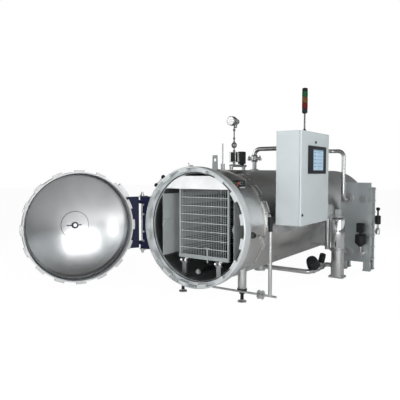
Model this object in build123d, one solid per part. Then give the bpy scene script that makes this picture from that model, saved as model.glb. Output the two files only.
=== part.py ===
from build123d import *
import math
import os

# Horizontal food retort with a bayonet door, a water circuit and a control cabinet.
# Millimetres. While it is built, Y is the vessel's axis with the mouth's front face at y = 0,
# Z is up from the floor and +X is the side with the cabinet, the pump and the heat exchanger.

# Pressure vessel
bore_radius = 650.0
shell_wall = 8.0
shell_length = 4720.0
axis_height = 915.0
head_wall = 10.0
head_crown_share = 1.8
head_knuckle_share = 0.34
cladding_gap = 33.0
cladding_wall = 2.5
neck_cover_start = 150.0
neck_cover_radius = 689.0
seam_y = 540.0
seam_width = 22.0
seam_height = 7.0
seam_loop_count = 18
seam_loop_length = 90.0
seam_loop_bar = 9.0
seam_loop_reach = 46.0

# Bayonet mouth
lug_count = 16
lug_angle = 10.2
ring_wall = 16.0
ring_lug_depth = 43.0
ring_lip_depth = 20.0
ring_lip_reach = 34.0
ring_edge_fillet = 12.0
lug_axial_gap = 6.0
lug_tip_gap = 24.0
rim_gap = 8.0
flange_depth = 21.0
flange_face = 85.0
pad_gap = 0.3
pad_count = 8
pad_height = 6.0
pad_width = 60.0
gasket_width = 12.0
gasket_depth = 10.0
gasket_stand = 5.4
ring_bar_angles = (127.0, 138.5)
ring_bar_y = 31.0
ring_bar_reach = 45.0
ring_bar_radius = 8.0
ring_knob_radius = 25.0

# Door
rim_wall = 16.0
rim_front = -12.0
door_mouth_y = 79.0
door_lug_reach = 24.0
door_wall = 10.0
door_crown_radius = 1500.0
door_knuckle_radius = 80.0
door_pad_radius = 172.0
door_pad_wall = 4.0
hub_radius = 42.0
hub_bore_radius = 22.0
hub_height = 16.0
door_open_angle = 116.5

# Door hinge
hinge_offset = 808.0
hinge_y = 35.0
hinge_bottom = 598.0
hinge_top = 1262.0
pin_radius = 14.0
pin_clearance = 0.06
pin_reach = 62.0
knuckle_radius = 27.0
fixed_knuckle = 40.0
door_knuckle = 42.0
knuckle_gap = 5.0
leaf_depth = 40.0
bracket_ring_gap = 8.0
bracket_front = 4.0
bracket_back = 205.0
hinge_plate_wall = 13.0
hinge_plate_depth = 64.0
hinge_plate_reach = 96.0
pin_nut_radius = 24.0
pin_nut_height = 22.0
arm_width = 78.0
arm_start_angle = 136.0
arm_end_angle = 152.0

# Legs and levelling feet
leg_x = 449.0
front_leg_y = 429.0
rear_leg_y = 4330.0
leg_tube_radius = 53.0
leg_bottom = 165.0
leg_collar_radius = 60.0
leg_collar_height = 24.0
foot_rod_radius = 21.0
foot_disc_radius = 54.0
foot_disc_height = 26.0
saddle_width = 190.0
saddle_length = 210.0
saddle_wall = 8.0

# Inside the chamber
liner_start = 105.0
tray_height = 1391.0
tray_wall = 15.0
tray_sheet = 3.0
baffle_height = 141.0
baffle_wall = 5.0
panel_x = 522.0
panel_wall = 4.0
panel_boss_start = 88.0
panel_boss_length = 247.0
panel_boss_height = 118.0
panel_boss_wall = 14.0
rack_width = 740.0
rack_bottom = 500.0
rack_head_gap = 1.0
rack_front = 250.0
rack_length = 1000.0
rack_post = 26.0
rack_levels = 8
rack_bar = 8.0
rack_slats = 6
rack_wires = 27
rack_wire = 4.0
rack_foot_rail = 32.0
track_x = 255.0
track_width = 66.0
track_tube_radius = 14.0
track_plug = 7.0
track_shoe = 16.0
track_start = 180.0
roller_count = 12
roller_radius = 20.0
roller_end_gap = 1.0
axle_radius = 7.0
track_post_width = 60.0
track_post_wall = 10.0
track_post_count = 5
steam_pipe_radius = 30.0
steam_pipe_height = 368.0
steam_pipe_start = 140.0
steam_cap = 16.0

# Fittings on top of the vessel
lifting_lug_y = 510.0
lifting_lug_rear_y = 4200.0
lifting_lug_width = 118.0
lifting_lug_height = 188.0
lifting_lug_wall = 16.0
lifting_lug_hole = 22.0
vent_y = 694.0
vent_height = 1948.0
vent_rod_radius = 8.0
vent_socket_radius = 26.0
vent_socket_height = 78.0
transmitter_y = 981.0
transmitter_height = 2258.0
transmitter_body_radius = 62.0
transmitter_body_length = 96.0
transmitter_tail_radius = 34.0
transmitter_tail_length = 84.0
transmitter_neck_radius = 9.0
siphon_height = 1940.0
siphon_radius = 30.0
siphon_tube_radius = 11.0
manifold_height = 1665.0
manifold_start = 880.0
manifold_end = 1300.0
manifold_radius = 17.0
manifold_post_radius = 24.0
solenoid_width = 72.0
solenoid_height = 128.0
solenoid_stand = 34.0
actuator_width = 88.0
actuator_stand = 8.0
actuator_height = 172.0
actuator_y = 1190.0
riser_y = 1560.0
riser_flange_radius = 62.0
riser_flange_height = 20.0
riser_valve_drop = 135.0
riser_valve_length = 92.0
riser_valve_radius = 52.0
riser_valve_spread = 96.0

# Overhead water pipe
pipe_radius = 30.2
bend_radius = 92.0
overhead_height = 1910.0
overhead_x = 655.0
safety_valve_y = 2700.0
safety_valve_radius = 24.0
safety_valve_height = 185.0

# Control cabinet
cabinet_depth = 325.0
cabinet_width = 922.0
cabinet_height = 1140.0
cabinet_x = 735.0
cabinet_y = 748.0
cabinet_bottom = 933.0
cabinet_wall = 3.0
cabinet_door_wall = 18.0
cabinet_door_gap = 5.0
cabinet_hinge_radius = 7.0
cabinet_hinge_length = 60.0
cabinet_pin_radius = 4.0
mounting_plate_wall = 3.0
mounting_plate_margin = 60.0
mounting_plate_stand = 22.0
screen_width = 590.0
screen_height = 345.0
screen_top = 1902.0
screen_y = 950.0
screen_wall = 14.0
cabinet_door_skin = 2.0
cabinet_door_lip = 14.0
bracket_wall = 10.0
bracket_drop = 300.0
cabinet_bracket_inset = 160.0
tower_x = 990.0
tower_y = 1000.0
tower_radius = 35.0
tower_pole_radius = 11.0
tower_pole_height = 231.0
tower_segment = 70.0
tower_base = 50.0
tower_cap = 40.0

# Button box and sight port on the vessel's side
button_x = 490.0
button_y = 290.0
button_top = 1481.0
button_length = 128.0
button_height = 78.0
button_depth = 90.0
sight_angle = -5.0
sight_y = 228.0
sight_radius = 38.0
sight_reach = 36.0

# Plate heat exchanger
exchanger_x = 998.0
exchanger_y = 3110.0
exchanger_width = 478.0
exchanger_bottom = 142.0
exchanger_top = 1413.0
exchanger_plate = 30.0
exchanger_pack = 210.0
exchanger_pack_inset = 22.0
exchanger_sheets = 12
exchanger_sheet_gap = 3.0
port_spacing = 246.0
upper_port = 1146.0
lower_port = 285.0
port_flange_radius = 96.0
port_flange_wall = 18.0
tie_radius = 12.0
tie_nut = 19.0
tie_count = 7
tie_edge = 26.0
exchanger_foot_width = 100.0
exchanger_foot_depth = 80.0
exchanger_foot_pad = 20.0
drop_y = 2870.0
control_valve_stand = 95.0
control_valve_radius = 84.0
steam_valve_z = 600.0
steam_valve_reach = 20.0
steam_valve_stand = 110.0

# Pump and water circuit
pump_x = 950.0
pump_y = 2430.0
pump_base_width = 214.0
pump_base_height = 28.0
pump_volute_top = 240.0
pump_volute_radius = 96.0
pump_body_radius = 92.0
pump_body_top = 405.0
pump_flange_radius = 116.0
pump_flange_height = 20.0
motor_radius = 98.0
motor_top = 905.0
motor_lid = 26.0
motor_box_width = 84.0
motor_box_height = 96.0
standpipe_x = 770.0
standpipe_y = 2500.0
standpipe_radius = 42.0
standpipe_bottom = 400.0
standpipe_top = 872.0
standpipe_branch_radius = 16.0
suction_y = 1750.0
suction_height = 175.0
suction_radius = 33.0
sump_radius = 82.0
sump_wall = 6.0
suction_valve_x = 775.0
valve_y = 1990.0
valve_tilt = 45.0
valve_head_radius = 92.0
valve_head_length = 150.0
valve_neck_radius = 26.0
valve_neck_length = 85.0
slim_valve_y = 2170.0
slim_valve_tilt = 35.0
slim_valve_radius = 48.0
slim_valve_length = 140.0

# Drain with its tundish post
drain_y = 345.0
drain_height = 150.0
drain_radius = 13.0
drain_start = 70.0
drain_end = 945.0
drain_clamp_x = 740.0
drain_clamp_radius = 52.0
drain_clamp_wall = 12.0
tundish_x = 865.0
tundish_radius = 22.0
tundish_top = 905.0
tundish_cone_radius = 34.0
tundish_cone_height = 158.0

# Sizes that follow
rack_top = tray_height - tray_wall - rack_head_gap
riser_valve_height = overhead_height - riser_valve_drop
shell_radius = bore_radius + shell_wall
cladding_radius = shell_radius + cladding_gap + cladding_wall
rim_radius = bore_radius + rim_wall
door_lug_radius = rim_radius + door_lug_reach
ring_lug_radius = rim_radius + rim_gap
ring_groove_radius = door_lug_radius + lug_tip_gap
ring_radius = ring_groove_radius + ring_wall
ring_lip_radius = ring_groove_radius - ring_lip_reach
door_lug_start = ring_lug_depth + lug_axial_gap
flange_back = flange_face + flange_depth
ring_lip_start = flange_back + lug_axial_gap
ring_back = ring_lip_start + ring_lip_depth
flange_radius = ring_groove_radius - pad_height - pad_gap
shell_end = flange_back + shell_length
lug_pitch = 360.0 / lug_count
axis_point = Pos(0, 0, axis_height)
cabinet_front = cabinet_x + cabinet_depth
cabinet_top = cabinet_bottom + cabinet_height
cabinet_end = cabinet_y + cabinet_width
exchanger_back = exchanger_y + exchanger_plate + exchanger_pack


def block(low, high):
    """A box from its lowest to its highest corner."""
    size = [b - a for a, b in zip(low, high)]
    corner = (Align.MIN, Align.MIN, Align.MIN)
    return Pos(*low) * Box(*size, align=corner)


def column(x, y, bottom, top, radius):
    """An upright round bar."""
    base = (Align.CENTER, Align.CENTER, Align.MIN)
    return Pos(x, y, bottom) * Cylinder(radius, top - bottom, align=base)


def rod(start, end, radius):
    """A round bar from one point to another."""
    line = Vector(*end) - Vector(*start)
    plane = Plane(origin=start, z_dir=line)
    return extrude(plane * Circle(radius), line.length)


def turned(outline):
    """A turned piece: its outline is (radius, distance) pairs about the vessel's axis."""
    face = make_face(Polyline(*outline, close=True))
    return axis_point * revolve(face, Axis.Y)


def disc_y(radius, start, end):
    """A full disc about the vessel's axis."""
    return turned([(0, start), (radius, start), (radius, end), (0, end)])


def tube_y(outer, inner, start, end):
    """A hollow cylinder about the vessel's axis."""
    return turned([(inner, start), (outer, start), (outer, end), (inner, end)])


def pipe(points, radius, bend):
    """A round pipe along straight runs that tangent bends join."""
    path = FilletPolyline(*points, radius=bend)
    start = Plane(origin=path @ 0, z_dir=path % 0)
    return sweep(start * Circle(radius), path=path)


def on_shell(radius, angle, y):
    """A frame on the vessel's side: X is along the vessel, Z points outwards."""
    turn = math.radians(angle)
    outward = (math.cos(turn), 0, math.sin(turn))
    foot = (radius * outward[0], y, axis_height + radius * outward[2])
    return Plane(origin=foot, x_dir=(0, 1, 0), z_dir=outward)


def surface_drop(radius, x):
    """Height of a round surface's underside at a distance x from the axis."""
    return axis_height - math.sqrt(radius**2 - x**2)


def lugs(inner, outer, start, end, first_angle):
    """A ring of equal lugs, each a sector between two radii."""
    ring = tube_y(outer, inner, start, end)
    half = math.radians(lug_angle / 2)
    reach = 2 * outer
    wedge_points = [(0, 0), (reach, -reach * math.tan(half)), (reach, reach * math.tan(half))]
    wedge = extrude(make_face(Polyline(*wedge_points, close=True)), end - start)
    upright = Plane(origin=(0, start, axis_height), x_dir=(1, 0, 0), z_dir=(0, 1, 0))
    wedges = [upright * Rot(0, 0, first_angle + k * lug_pitch) * wedge for k in range(lug_count)]
    return ring & Compound(children=wedges)


def vessel():
    """Shell, front flange, gasket, covers and rear head."""
    parts = {}
    parts["vessel_shell"] = tube_y(shell_radius, bore_radius, flange_back, shell_end)
    flange = tube_y(flange_radius, bore_radius, flange_face, flange_back)
    gasket_inner = bore_radius + 2
    groove = tube_y(gasket_inner + gasket_width, gasket_inner, flange_face, flange_face + gasket_depth)
    parts["front_flange"] = flange - groove
    gasket_front = flange_face - gasket_stand
    parts["door_gasket"] = tube_y(
        gasket_inner + gasket_width, gasket_inner, gasket_front, flange_face + gasket_depth
    )
    parts["neck_cover"] = closed_cover(neck_cover_radius, neck_cover_start, seam_y)
    parts["body_cladding"] = closed_cover(cladding_radius, seam_y, shell_end)
    parts["seam_band"] = seam_band()
    parts["rear_head"] = rear_dome(shell_radius, head_wall)
    parts["rear_cover"] = rear_dome(cladding_radius, cladding_wall)
    return parts


def closed_cover(radius, start, end):
    """A thin cover round the shell, turned in at both ends to meet it."""
    inner = radius - cladding_wall
    outline = [
        (shell_radius, start),
        (radius, start),
        (radius, end),
        (shell_radius, end),
        (shell_radius, end - cladding_wall),
        (inner, end - cladding_wall),
        (inner, start + cladding_wall),
        (shell_radius, start + cladding_wall),
    ]
    return turned(outline)


def rear_dome(radius, wall):
    """The rear dished end, of even thickness, that starts where the shell stops."""
    crown = radius * head_crown_share
    knuckle = radius * head_knuckle_share
    outer = dished(radius, knuckle, crown)
    inner = dished(radius - wall, knuckle - wall, crown - wall)
    return Pos(0, shell_end, 0) * mirror(outer - inner, about=Plane.XZ)


def seam_band():
    """The raised band over the cladding's front seam, with open loops along it."""
    band = tube_y(cladding_radius + seam_height, cladding_radius, seam_y, seam_y + seam_width)
    back = seam_y + seam_width
    for k in range(seam_loop_count):
        place = on_shell(cladding_radius, k * 360 / seam_loop_count, back)
        loop = block((0, -seam_loop_length / 2, 0), (seam_loop_reach, seam_loop_length / 2, seam_height))
        hole = block(
            (-1, -seam_loop_length / 2 + seam_loop_bar, -1),
            (seam_loop_reach - seam_loop_bar, seam_loop_length / 2 - seam_loop_bar, seam_height + 1),
        )
        band += place.location * (loop - hole)
    return band - disc_y(cladding_radius, seam_y - 1, back + seam_loop_reach + 1)


def bayonet():
    """The locking ring, its slide pads and its hand bar."""
    band = tube_y(ring_radius, ring_groove_radius, 0, ring_back)
    front_edges = band.edges().filter_by(GeomType.CIRCLE).sort_by(Axis.Y)[:2].sort_by(SortBy.RADIUS)
    parts = {"locking_ring": fillet(front_edges[-1], ring_edge_fillet)}
    parts["ring_lugs"] = lugs(ring_lug_radius, ring_groove_radius, 0, ring_lug_depth, lug_pitch / 2)
    parts["ring_lip"] = tube_y(ring_groove_radius, ring_lip_radius, ring_lip_start, ring_back)
    pads = Part()
    for k in range(pad_count):
        place = on_shell(flange_radius, (k + 0.5) * 360 / pad_count, flange_face)
        pads += place.location * block((0, -pad_width / 2, -2), (flange_depth, pad_width / 2, 2 * pad_height))
    shoe = tube_y(ring_groove_radius - pad_gap, flange_radius, flange_face, flange_back)
    parts["ring_slide_pads"] = pads & shoe
    parts["ring_hand_bar"] = ring_hand_bar()
    return parts


def ring_hand_bar():
    """A bar on two knobs, fixed tangent to the ring at its upper left."""
    centres = []
    bar = Part()
    for angle in ring_bar_angles:
        place = on_shell(ring_radius, angle, ring_bar_y)
        bar += place.location * Cylinder(
            ring_knob_radius, ring_bar_reach + 1, align=(Align.CENTER, Align.CENTER, Align.MIN)
        )
        centres.append(place.origin + place.z_dir * ring_bar_reach * 0.75)
    bar -= disc_y(ring_radius, 0, ring_back)
    return bar + rod(tuple(centres[0]), tuple(centres[1]), ring_bar_radius)


def door():
    """The door as it stands when closed."""
    parts = {}
    rim = tube_y(rim_radius, bore_radius, rim_front, door_mouth_y)
    parts["door_rim"] = rim
    parts["door_lugs"] = lugs(rim_radius, door_lug_radius, door_lug_start, door_mouth_y, 0)
    outer_knuckle = door_knuckle_radius + door_wall
    lift = Pos(0, rim_front, 0)
    outer = lift * dished(bore_radius + door_wall, outer_knuckle, door_crown_radius + door_wall)
    inner = lift * dished(bore_radius, door_knuckle_radius, door_crown_radius)
    head = outer - inner
    parts["door_head"] = head
    apex = rim_front - dish_depth(bore_radius, door_knuckle_radius, door_crown_radius)
    pad_ball = Pos(0, apex + door_crown_radius, axis_height) * Sphere(door_crown_radius)
    pad_inner = Pos(0, apex + door_crown_radius, axis_height) * Sphere(door_crown_radius - door_pad_wall)
    reach = disc_y(door_pad_radius, apex, apex + 60)
    bore = disc_y(hub_bore_radius, apex - 60, apex + 60)
    hub_face = apex + door_pad_wall + hub_height
    hub = disc_y(hub_radius, apex, hub_face) & pad_inner
    parts["door_centre_pad"] = ((pad_ball - pad_inner) & reach) + (hub - bore)
    solid_door = outer + disc_y(rim_radius, rim_front, door_mouth_y)
    parts["door_hinge_leaf"] = hinge_leaf(solid_door)
    parts["door_arm"] = door_arm(solid_door)
    return parts


def dish_depth(radius, knuckle, crown):
    """Depth of a dished end from its straight edge to its crown."""
    return crown - math.sqrt((crown - knuckle) ** 2 - (radius - knuckle) ** 2)


def dished(radius, knuckle, crown):
    """A solid dished end on y = 0 that bulges forwards."""
    depth = dish_depth(radius, knuckle, crown)
    slope = math.atan2(radius - knuckle, crown - depth)
    touch = (crown * math.sin(slope), -(crown * math.cos(slope) - (crown - depth)))
    middle = math.radians(90 - (90 - math.degrees(slope)) / 2)
    bulge = (radius - knuckle + knuckle * math.sin(middle), -knuckle * math.cos(middle))
    corner = ThreePointArc((radius, 0), bulge, touch)
    half = slope / 2
    over = (crown * math.sin(half), -(crown * math.cos(half) - (crown - depth)))
    crown_arc = ThreePointArc(touch, over, (0, -depth))
    side = Line((0, -depth), (0, 0))
    base = Line((0, 0), (radius, 0))
    return axis_point * revolve(make_face([corner, crown_arc, side, base]), Axis.Y)


def front_plate(outline, start, end):
    """A plate cut from an (x, z) outline, between two distances along the vessel."""
    plane = Plane(origin=(0, start, 0), x_dir=(1, 0, 0), z_dir=(0, -1, 0))
    return extrude(plane * make_face(Polyline(*outline, close=True)), -(end - start))


def hinge_leaf(solid_door):
    """The door's half of the hinge: a plate on the rim's front with two knuckles."""
    front = rim_front - leaf_depth
    inside = -bore_radius * 0.72
    leaf = block((-hinge_offset + knuckle_radius, front, hinge_bottom), (inside, rim_front, hinge_top))
    upper = hinge_top - fixed_knuckle - knuckle_gap
    lower = hinge_bottom + fixed_knuckle + knuckle_gap
    for base in (upper - door_knuckle, lower):
        leaf += column(-hinge_offset, hinge_y, base, base + door_knuckle, knuckle_radius)
        leaf += block(
            (-hinge_offset - knuckle_radius, front, base),
            (-hinge_offset + knuckle_radius, hinge_y, base + door_knuckle),
        )
    bore = column(-hinge_offset, hinge_y, hinge_bottom, hinge_top, pin_radius + pin_clearance)
    return leaf - bore - solid_door


def door_arm(solid_door):
    """The pale arm that follows the rim above the hinge leaf."""
    front = rim_front - leaf_depth
    sector = tube_y(rim_radius + arm_width, rim_radius - rim_wall, front, rim_front)
    reach = 2 * ring_radius
    corners = [(0, 0)]
    for angle in (arm_start_angle, arm_end_angle):
        turn = math.radians(angle)
        corners.append((reach * math.cos(turn), reach * math.sin(turn)))
    wedge = front_plate([(x, axis_height + z) for x, z in corners], front, rim_front)
    above = block((-reach, front, hinge_top), (0, rim_front, hinge_top + reach))
    return (sector & wedge & above) - solid_door


def hinge():
    """The vessel's half of the hinge, its end plates and the pin."""
    left = -hinge_offset + knuckle_radius + knuckle_gap
    right = -bore_radius * 0.8
    arm = block((left, bracket_front, hinge_bottom), (right, bracket_back, hinge_top))
    arm -= disc_y(ring_radius + bracket_ring_gap, bracket_front - 1, ring_back + lug_axial_gap)
    arm -= disc_y(neck_cover_radius, 0, bracket_back + 1)
    for base in (hinge_bottom, hinge_top - fixed_knuckle):
        arm += column(-hinge_offset, hinge_y, base, base + fixed_knuckle, knuckle_radius)
        arm += block(
            (-hinge_offset, hinge_y - knuckle_radius, base),
            (left, hinge_y + knuckle_radius, base + fixed_knuckle),
        )
    bore = column(-hinge_offset, hinge_y, hinge_bottom, hinge_top, pin_radius + pin_clearance)
    parts = {"hinge_bracket": arm - bore}
    plates = Part()
    for base in (hinge_bottom - hinge_plate_wall, hinge_top):
        plates += block(
            (-hinge_offset - knuckle_radius, hinge_y - knuckle_radius, base),
            (
                -hinge_offset - knuckle_radius + hinge_plate_reach,
                hinge_y - knuckle_radius + hinge_plate_depth,
                base + hinge_plate_wall,
            ),
        )
    low, high = hinge_bottom - pin_reach, hinge_top + pin_reach
    pin = column(-hinge_offset, hinge_y, low, high, pin_radius)
    pin += column(
        -hinge_offset, hinge_y, hinge_top + hinge_plate_wall, hinge_top + hinge_plate_wall + pin_nut_height,
        pin_nut_radius,
    )
    under = hinge_bottom - hinge_plate_wall
    pin += column(-hinge_offset, hinge_y, under - pin_nut_height, under, pin_nut_radius)
    parts["hinge_pin"] = pin + plates
    return parts


def legs():
    """Four tube legs welded under the shell, each on a levelling foot."""
    tubes, feet = Part(), Part()
    places = [(side * leg_x, front_leg_y, neck_cover_radius) for side in (-1, 1)]
    places += [(side * leg_x, rear_leg_y, cladding_radius) for side in (-1, 1)]
    for x, y, radius in places:
        top = axis_height
        leg = column(x, y, leg_bottom, top, leg_tube_radius)
        leg += column(x, y, leg_bottom - leg_collar_height, leg_bottom, leg_collar_radius)
        saddle = block(
            (x - saddle_width / 2, y - saddle_length / 2, 0),
            (x + saddle_width / 2, y + saddle_length / 2, top),
        )
        skin = tube_y(radius + saddle_wall, radius, y - saddle_length / 2, y + saddle_length / 2)
        tubes += (leg - disc_y(radius, y - 200, y + 200)) + (skin & saddle)
        feet += column(x, y, foot_disc_height, leg_bottom - leg_collar_height, foot_rod_radius)
        feet += column(x, y, 0, foot_disc_height, foot_disc_radius)
    return {"legs": tubes, "levelling_feet": feet}


def chamber():
    """What is fixed inside the shell, and the rack that stands on its tracks."""
    parts = {}
    bore = disc_y(bore_radius, flange_back, shell_end)
    sheet_bottom = tray_height - tray_sheet
    tray = block((-bore_radius, liner_start, sheet_bottom), (bore_radius, shell_end, tray_height))
    tray += block((-bore_radius, liner_start, tray_height - tray_wall), (bore_radius, liner_start + baffle_wall, sheet_bottom))
    baffle = block((-bore_radius, liner_start, tray_height), (bore_radius, liner_start + baffle_wall, tray_height + baffle_height))
    inside = disc_y(bore_radius, liner_start, shell_end)
    parts["ceiling_tray"] = (tray + baffle) & inside
    panels = Part()
    for side in (-1, 1):
        panel = block(
            (side * panel_x - panel_wall / 2, liner_start, 0),
            (side * panel_x + panel_wall / 2, shell_end, 2 * axis_height),
        )
        panel = panel & inside
        outline = [
            (0, 0),
            (panel_boss_length * 0.2, panel_boss_height / 2),
            (panel_boss_length * 0.8, panel_boss_height / 2),
            (panel_boss_length, 0),
            (panel_boss_length * 0.8, -panel_boss_height / 2),
            (panel_boss_length * 0.2, -panel_boss_height / 2),
        ]
        face = Plane(
            origin=(side * (panel_x - panel_wall / 2), panel_boss_start, axis_height),
            x_dir=(0, 1, 0),
            z_dir=(-side, 0, 0),
        )
        panels += panel + extrude(face * make_face(Polyline(*outline, close=True)), panel_boss_wall)
    parts["side_panels"] = panels
    parts.update(load_rack())
    parts.update(tracks(bore))
    pipe_end = shell_end - 120
    steam = rod((0, steam_pipe_start, steam_pipe_height), (0, pipe_end, steam_pipe_height), steam_pipe_radius)
    steam += rod(
        (0, steam_pipe_start - steam_cap, steam_pipe_height),
        (0, steam_pipe_start, steam_pipe_height),
        steam_pipe_radius * 0.8,
    )
    stand_step = (pipe_end - steam_pipe_start) / track_post_count
    for k in range(track_post_count):
        y = steam_pipe_start + (k + 0.5) * stand_step
        stand = block((-12, y - 20, 0), (12, y + 20, steam_pipe_height)) & bore
        steam += stand
    parts["steam_pipe"] = steam
    return parts


def load_rack():
    """The rack: four posts, shelf frames with slats between them, and a wire front."""
    half = rack_width / 2
    back = rack_front + rack_length
    posts, shelves = Part(), Part()
    for x in (-half, half - rack_post):
        for y in (rack_front, back - rack_post):
            posts += block((x, y, rack_bottom), (x + rack_post, y + rack_post, rack_top))
    step = (rack_top - rack_bottom - rack_foot_rail) / rack_levels
    for k in range(rack_levels + 1):
        high = rack_bottom + rack_foot_rail + k * step
        low = rack_bottom if k == 0 else high - rack_bar
        shelves += shelf(low, high)
    wires = Part()
    gap = (rack_width - 2 * rack_post) / (rack_wires + 1)
    front = rack_front - rack_wire
    for k in range(rack_wires):
        x = -half + rack_post + (k + 1) * gap
        wires += block((x - rack_wire / 2, front, rack_bottom), (x + rack_wire / 2, rack_front, rack_top))
    for k in range(rack_levels + 1):
        high = rack_bottom + rack_foot_rail + k * step
        wires += block((-half + rack_post, front, high - rack_bar), (half - rack_post, rack_front, high))
    return {"rack_posts": posts, "rack_shelves": shelves, "rack_front_grille": wires}


def shelf(low, high):
    """One shelf: a rectangular frame with slats along the rack."""
    half = rack_width / 2 - rack_post
    back = rack_front + rack_length
    frame = block((-half, rack_front, low), (half, back, high))
    bay = 2 * half / rack_slats
    for k in range(rack_slats):
        x = -half + k * bay
        frame -= block(
            (x + rack_bar, rack_front + rack_bar, low - 1), (x + bay - rack_bar, back - rack_bar, high + 1)
        )
    return frame


def tracks(bore):
    """Two pairs of round rails with rollers between them, on posts from the shell's bottom."""
    rails, rollers = Part(), Part()
    track_end = shell_end - 100
    step = (track_end - track_start) / roller_count
    axle_height = rack_bottom - roller_radius
    half = track_width / 2
    roller_reach = half - track_tube_radius - roller_end_gap
    for side in (-1, 1):
        x = side * track_x
        for tube_x in (x - half, x + half):
            rails += rod((tube_x, track_start, axle_height), (tube_x, track_end, axle_height), track_tube_radius)
            rollers += rod(
                (tube_x, track_start - track_plug, axle_height), (tube_x, track_start, axle_height),
                track_tube_radius,
            )
        for k in range(track_post_count):
            y = track_start + (k + 0.02) * (track_end - track_start) / track_post_count
            rails += track_post(x, y, axle_height) & bore
        for k in range(roller_count):
            y = track_start + (k + 0.5 if k else 0.2) * step
            rollers += rod((x - roller_reach, y, axle_height), (x + roller_reach, y, axle_height), roller_radius)
            rollers += rod((x - half, y, axle_height), (x + half, y, axle_height), axle_radius)
    return {"rack_tracks": rails - rollers, "track_rollers": rollers}


def track_post(x, y, axle_height):
    """A T-shaped post with a shoe across its top that carries one pair of rails."""
    half = track_post_width / 2
    shoe_top = axle_height - roller_radius - roller_end_gap
    shoe_bottom = shoe_top - track_shoe
    post = block((x - half, y, 0), (x + half, y + track_post_wall, shoe_bottom))
    post += block((x - track_post_wall / 2, y, 0), (x + track_post_wall / 2, y + track_post_width, shoe_bottom))
    reach = track_width / 2 + track_tube_radius
    post += block((x - reach, y, shoe_bottom), (x + reach, y + track_post_width, shoe_top))
    for side in (-1, 1):
        cheek = x + side * track_width / 2
        post += block(
            (cheek - track_post_wall / 2, y, shoe_bottom), (cheek + track_post_wall / 2, y + track_post_width, axle_height)
        )
    return post


def top_fittings():
    """Lifting lugs, vent, transmitter, instrument manifold and the riser's valve."""
    parts = {}
    crest = axis_height + cladding_radius
    cut = disc_y(cladding_radius, 0, shell_end)
    lug_solids = Part()
    for y, radius in ((lifting_lug_y, neck_cover_radius), (lifting_lug_rear_y, cladding_radius)):
        half = lifting_lug_width / 2
        top = axis_height + radius + lifting_lug_height
        outline = [(-half, axis_height), (half, axis_height), (half * 0.55, top), (-half * 0.55, top)]
        plate = front_plate(outline, y - lifting_lug_wall / 2, y + lifting_lug_wall / 2)
        eye = rod((0, y - 20, top - 60), (0, y + 20, top - 60), lifting_lug_hole)
        lug_solids += plate - eye - disc_y(radius, y - 60, y + 60)
    parts["lifting_lugs"] = lug_solids
    vent = column(0, vent_y, axis_height, crest + vent_socket_height, vent_socket_radius)
    vent += column(0, vent_y, crest, vent_height, vent_rod_radius)
    manifold = rod((0, manifold_start, manifold_height), (0, manifold_end, manifold_height), manifold_radius)
    for y in (manifold_start + 30, manifold_end - 60):
        manifold += column(0, y, axis_height, manifold_height, manifold_post_radius)
    parts["instrument_manifold"] = (manifold + vent) - cut
    parts["top_instruments"] = transmitter() + solenoid()
    parts.update(riser())
    return parts


def transmitter():
    """Pressure transmitter on its neck and siphon loop."""
    y = transmitter_y
    neck = column(0, y, manifold_height + manifold_radius, transmitter_height, transmitter_neck_radius)
    ring = Pos(0, y, siphon_height) * Rot(90, 0, 0) * Torus(siphon_radius, siphon_tube_radius)
    head = rod(
        (0, y, transmitter_height), (0, y - transmitter_body_length, transmitter_height),
        transmitter_body_radius,
    )
    tail = rod(
        (0, y - 10, transmitter_height), (0, y + transmitter_tail_length, transmitter_height),
        transmitter_tail_radius,
    )
    return neck + ring + head + tail


def solenoid():
    """The instrument air valve: a box on the manifold and a taller actuator behind it."""
    y = transmitter_y
    half = solenoid_width / 2
    base = manifold_height + manifold_radius
    solenoid_bottom = base + solenoid_stand
    actuator_bottom = base + actuator_stand
    box = block((-half, y - half, solenoid_bottom), (half, y + half, solenoid_bottom + solenoid_height))
    half = actuator_width / 2
    box += block(
        (-half, actuator_y - half, actuator_bottom),
        (half, actuator_y + half, actuator_bottom + actuator_height),
    )
    box += column(0, actuator_y, base, actuator_bottom, manifold_radius)
    return box


def riser():
    """The riser with its clamped valve, and the overhead pipe to the heat exchanger."""
    crest = axis_height + cladding_radius
    cut = disc_y(cladding_radius, riser_y - 200, riser_y + 200)
    collar = column(0, riser_y, axis_height, crest + riser_flange_height, riser_flange_radius)
    port_x = exchanger_x - port_spacing / 2
    points = [
        (0, riser_y, crest + riser_flange_height),
        (0, riser_y, overhead_height),
        (overhead_x, riser_y, overhead_height),
        (overhead_x, drop_y, overhead_height),
        (port_x, drop_y, overhead_height),
        (port_x, drop_y, upper_port),
        (port_x, exchanger_y - port_flange_wall, upper_port),
    ]
    shortest_run = overhead_height - crest - riser_flange_height
    run = pipe(points, pipe_radius, min(bend_radius, shortest_run * 0.9))
    low = riser_valve_height - riser_valve_length / 2
    high = riser_valve_height + riser_valve_length / 2
    valve = column(0, riser_y, low, high, riser_valve_radius)
    valve += rod(
        (-riser_valve_spread, riser_y, riser_valve_height), (riser_valve_spread, riser_y, riser_valve_height),
        riser_valve_radius * 0.5,
    )
    valve -= column(0, riser_y, low, high, pipe_radius)
    return {"overhead_pipe": run, "riser_valve": valve + (collar - cut)}


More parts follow.
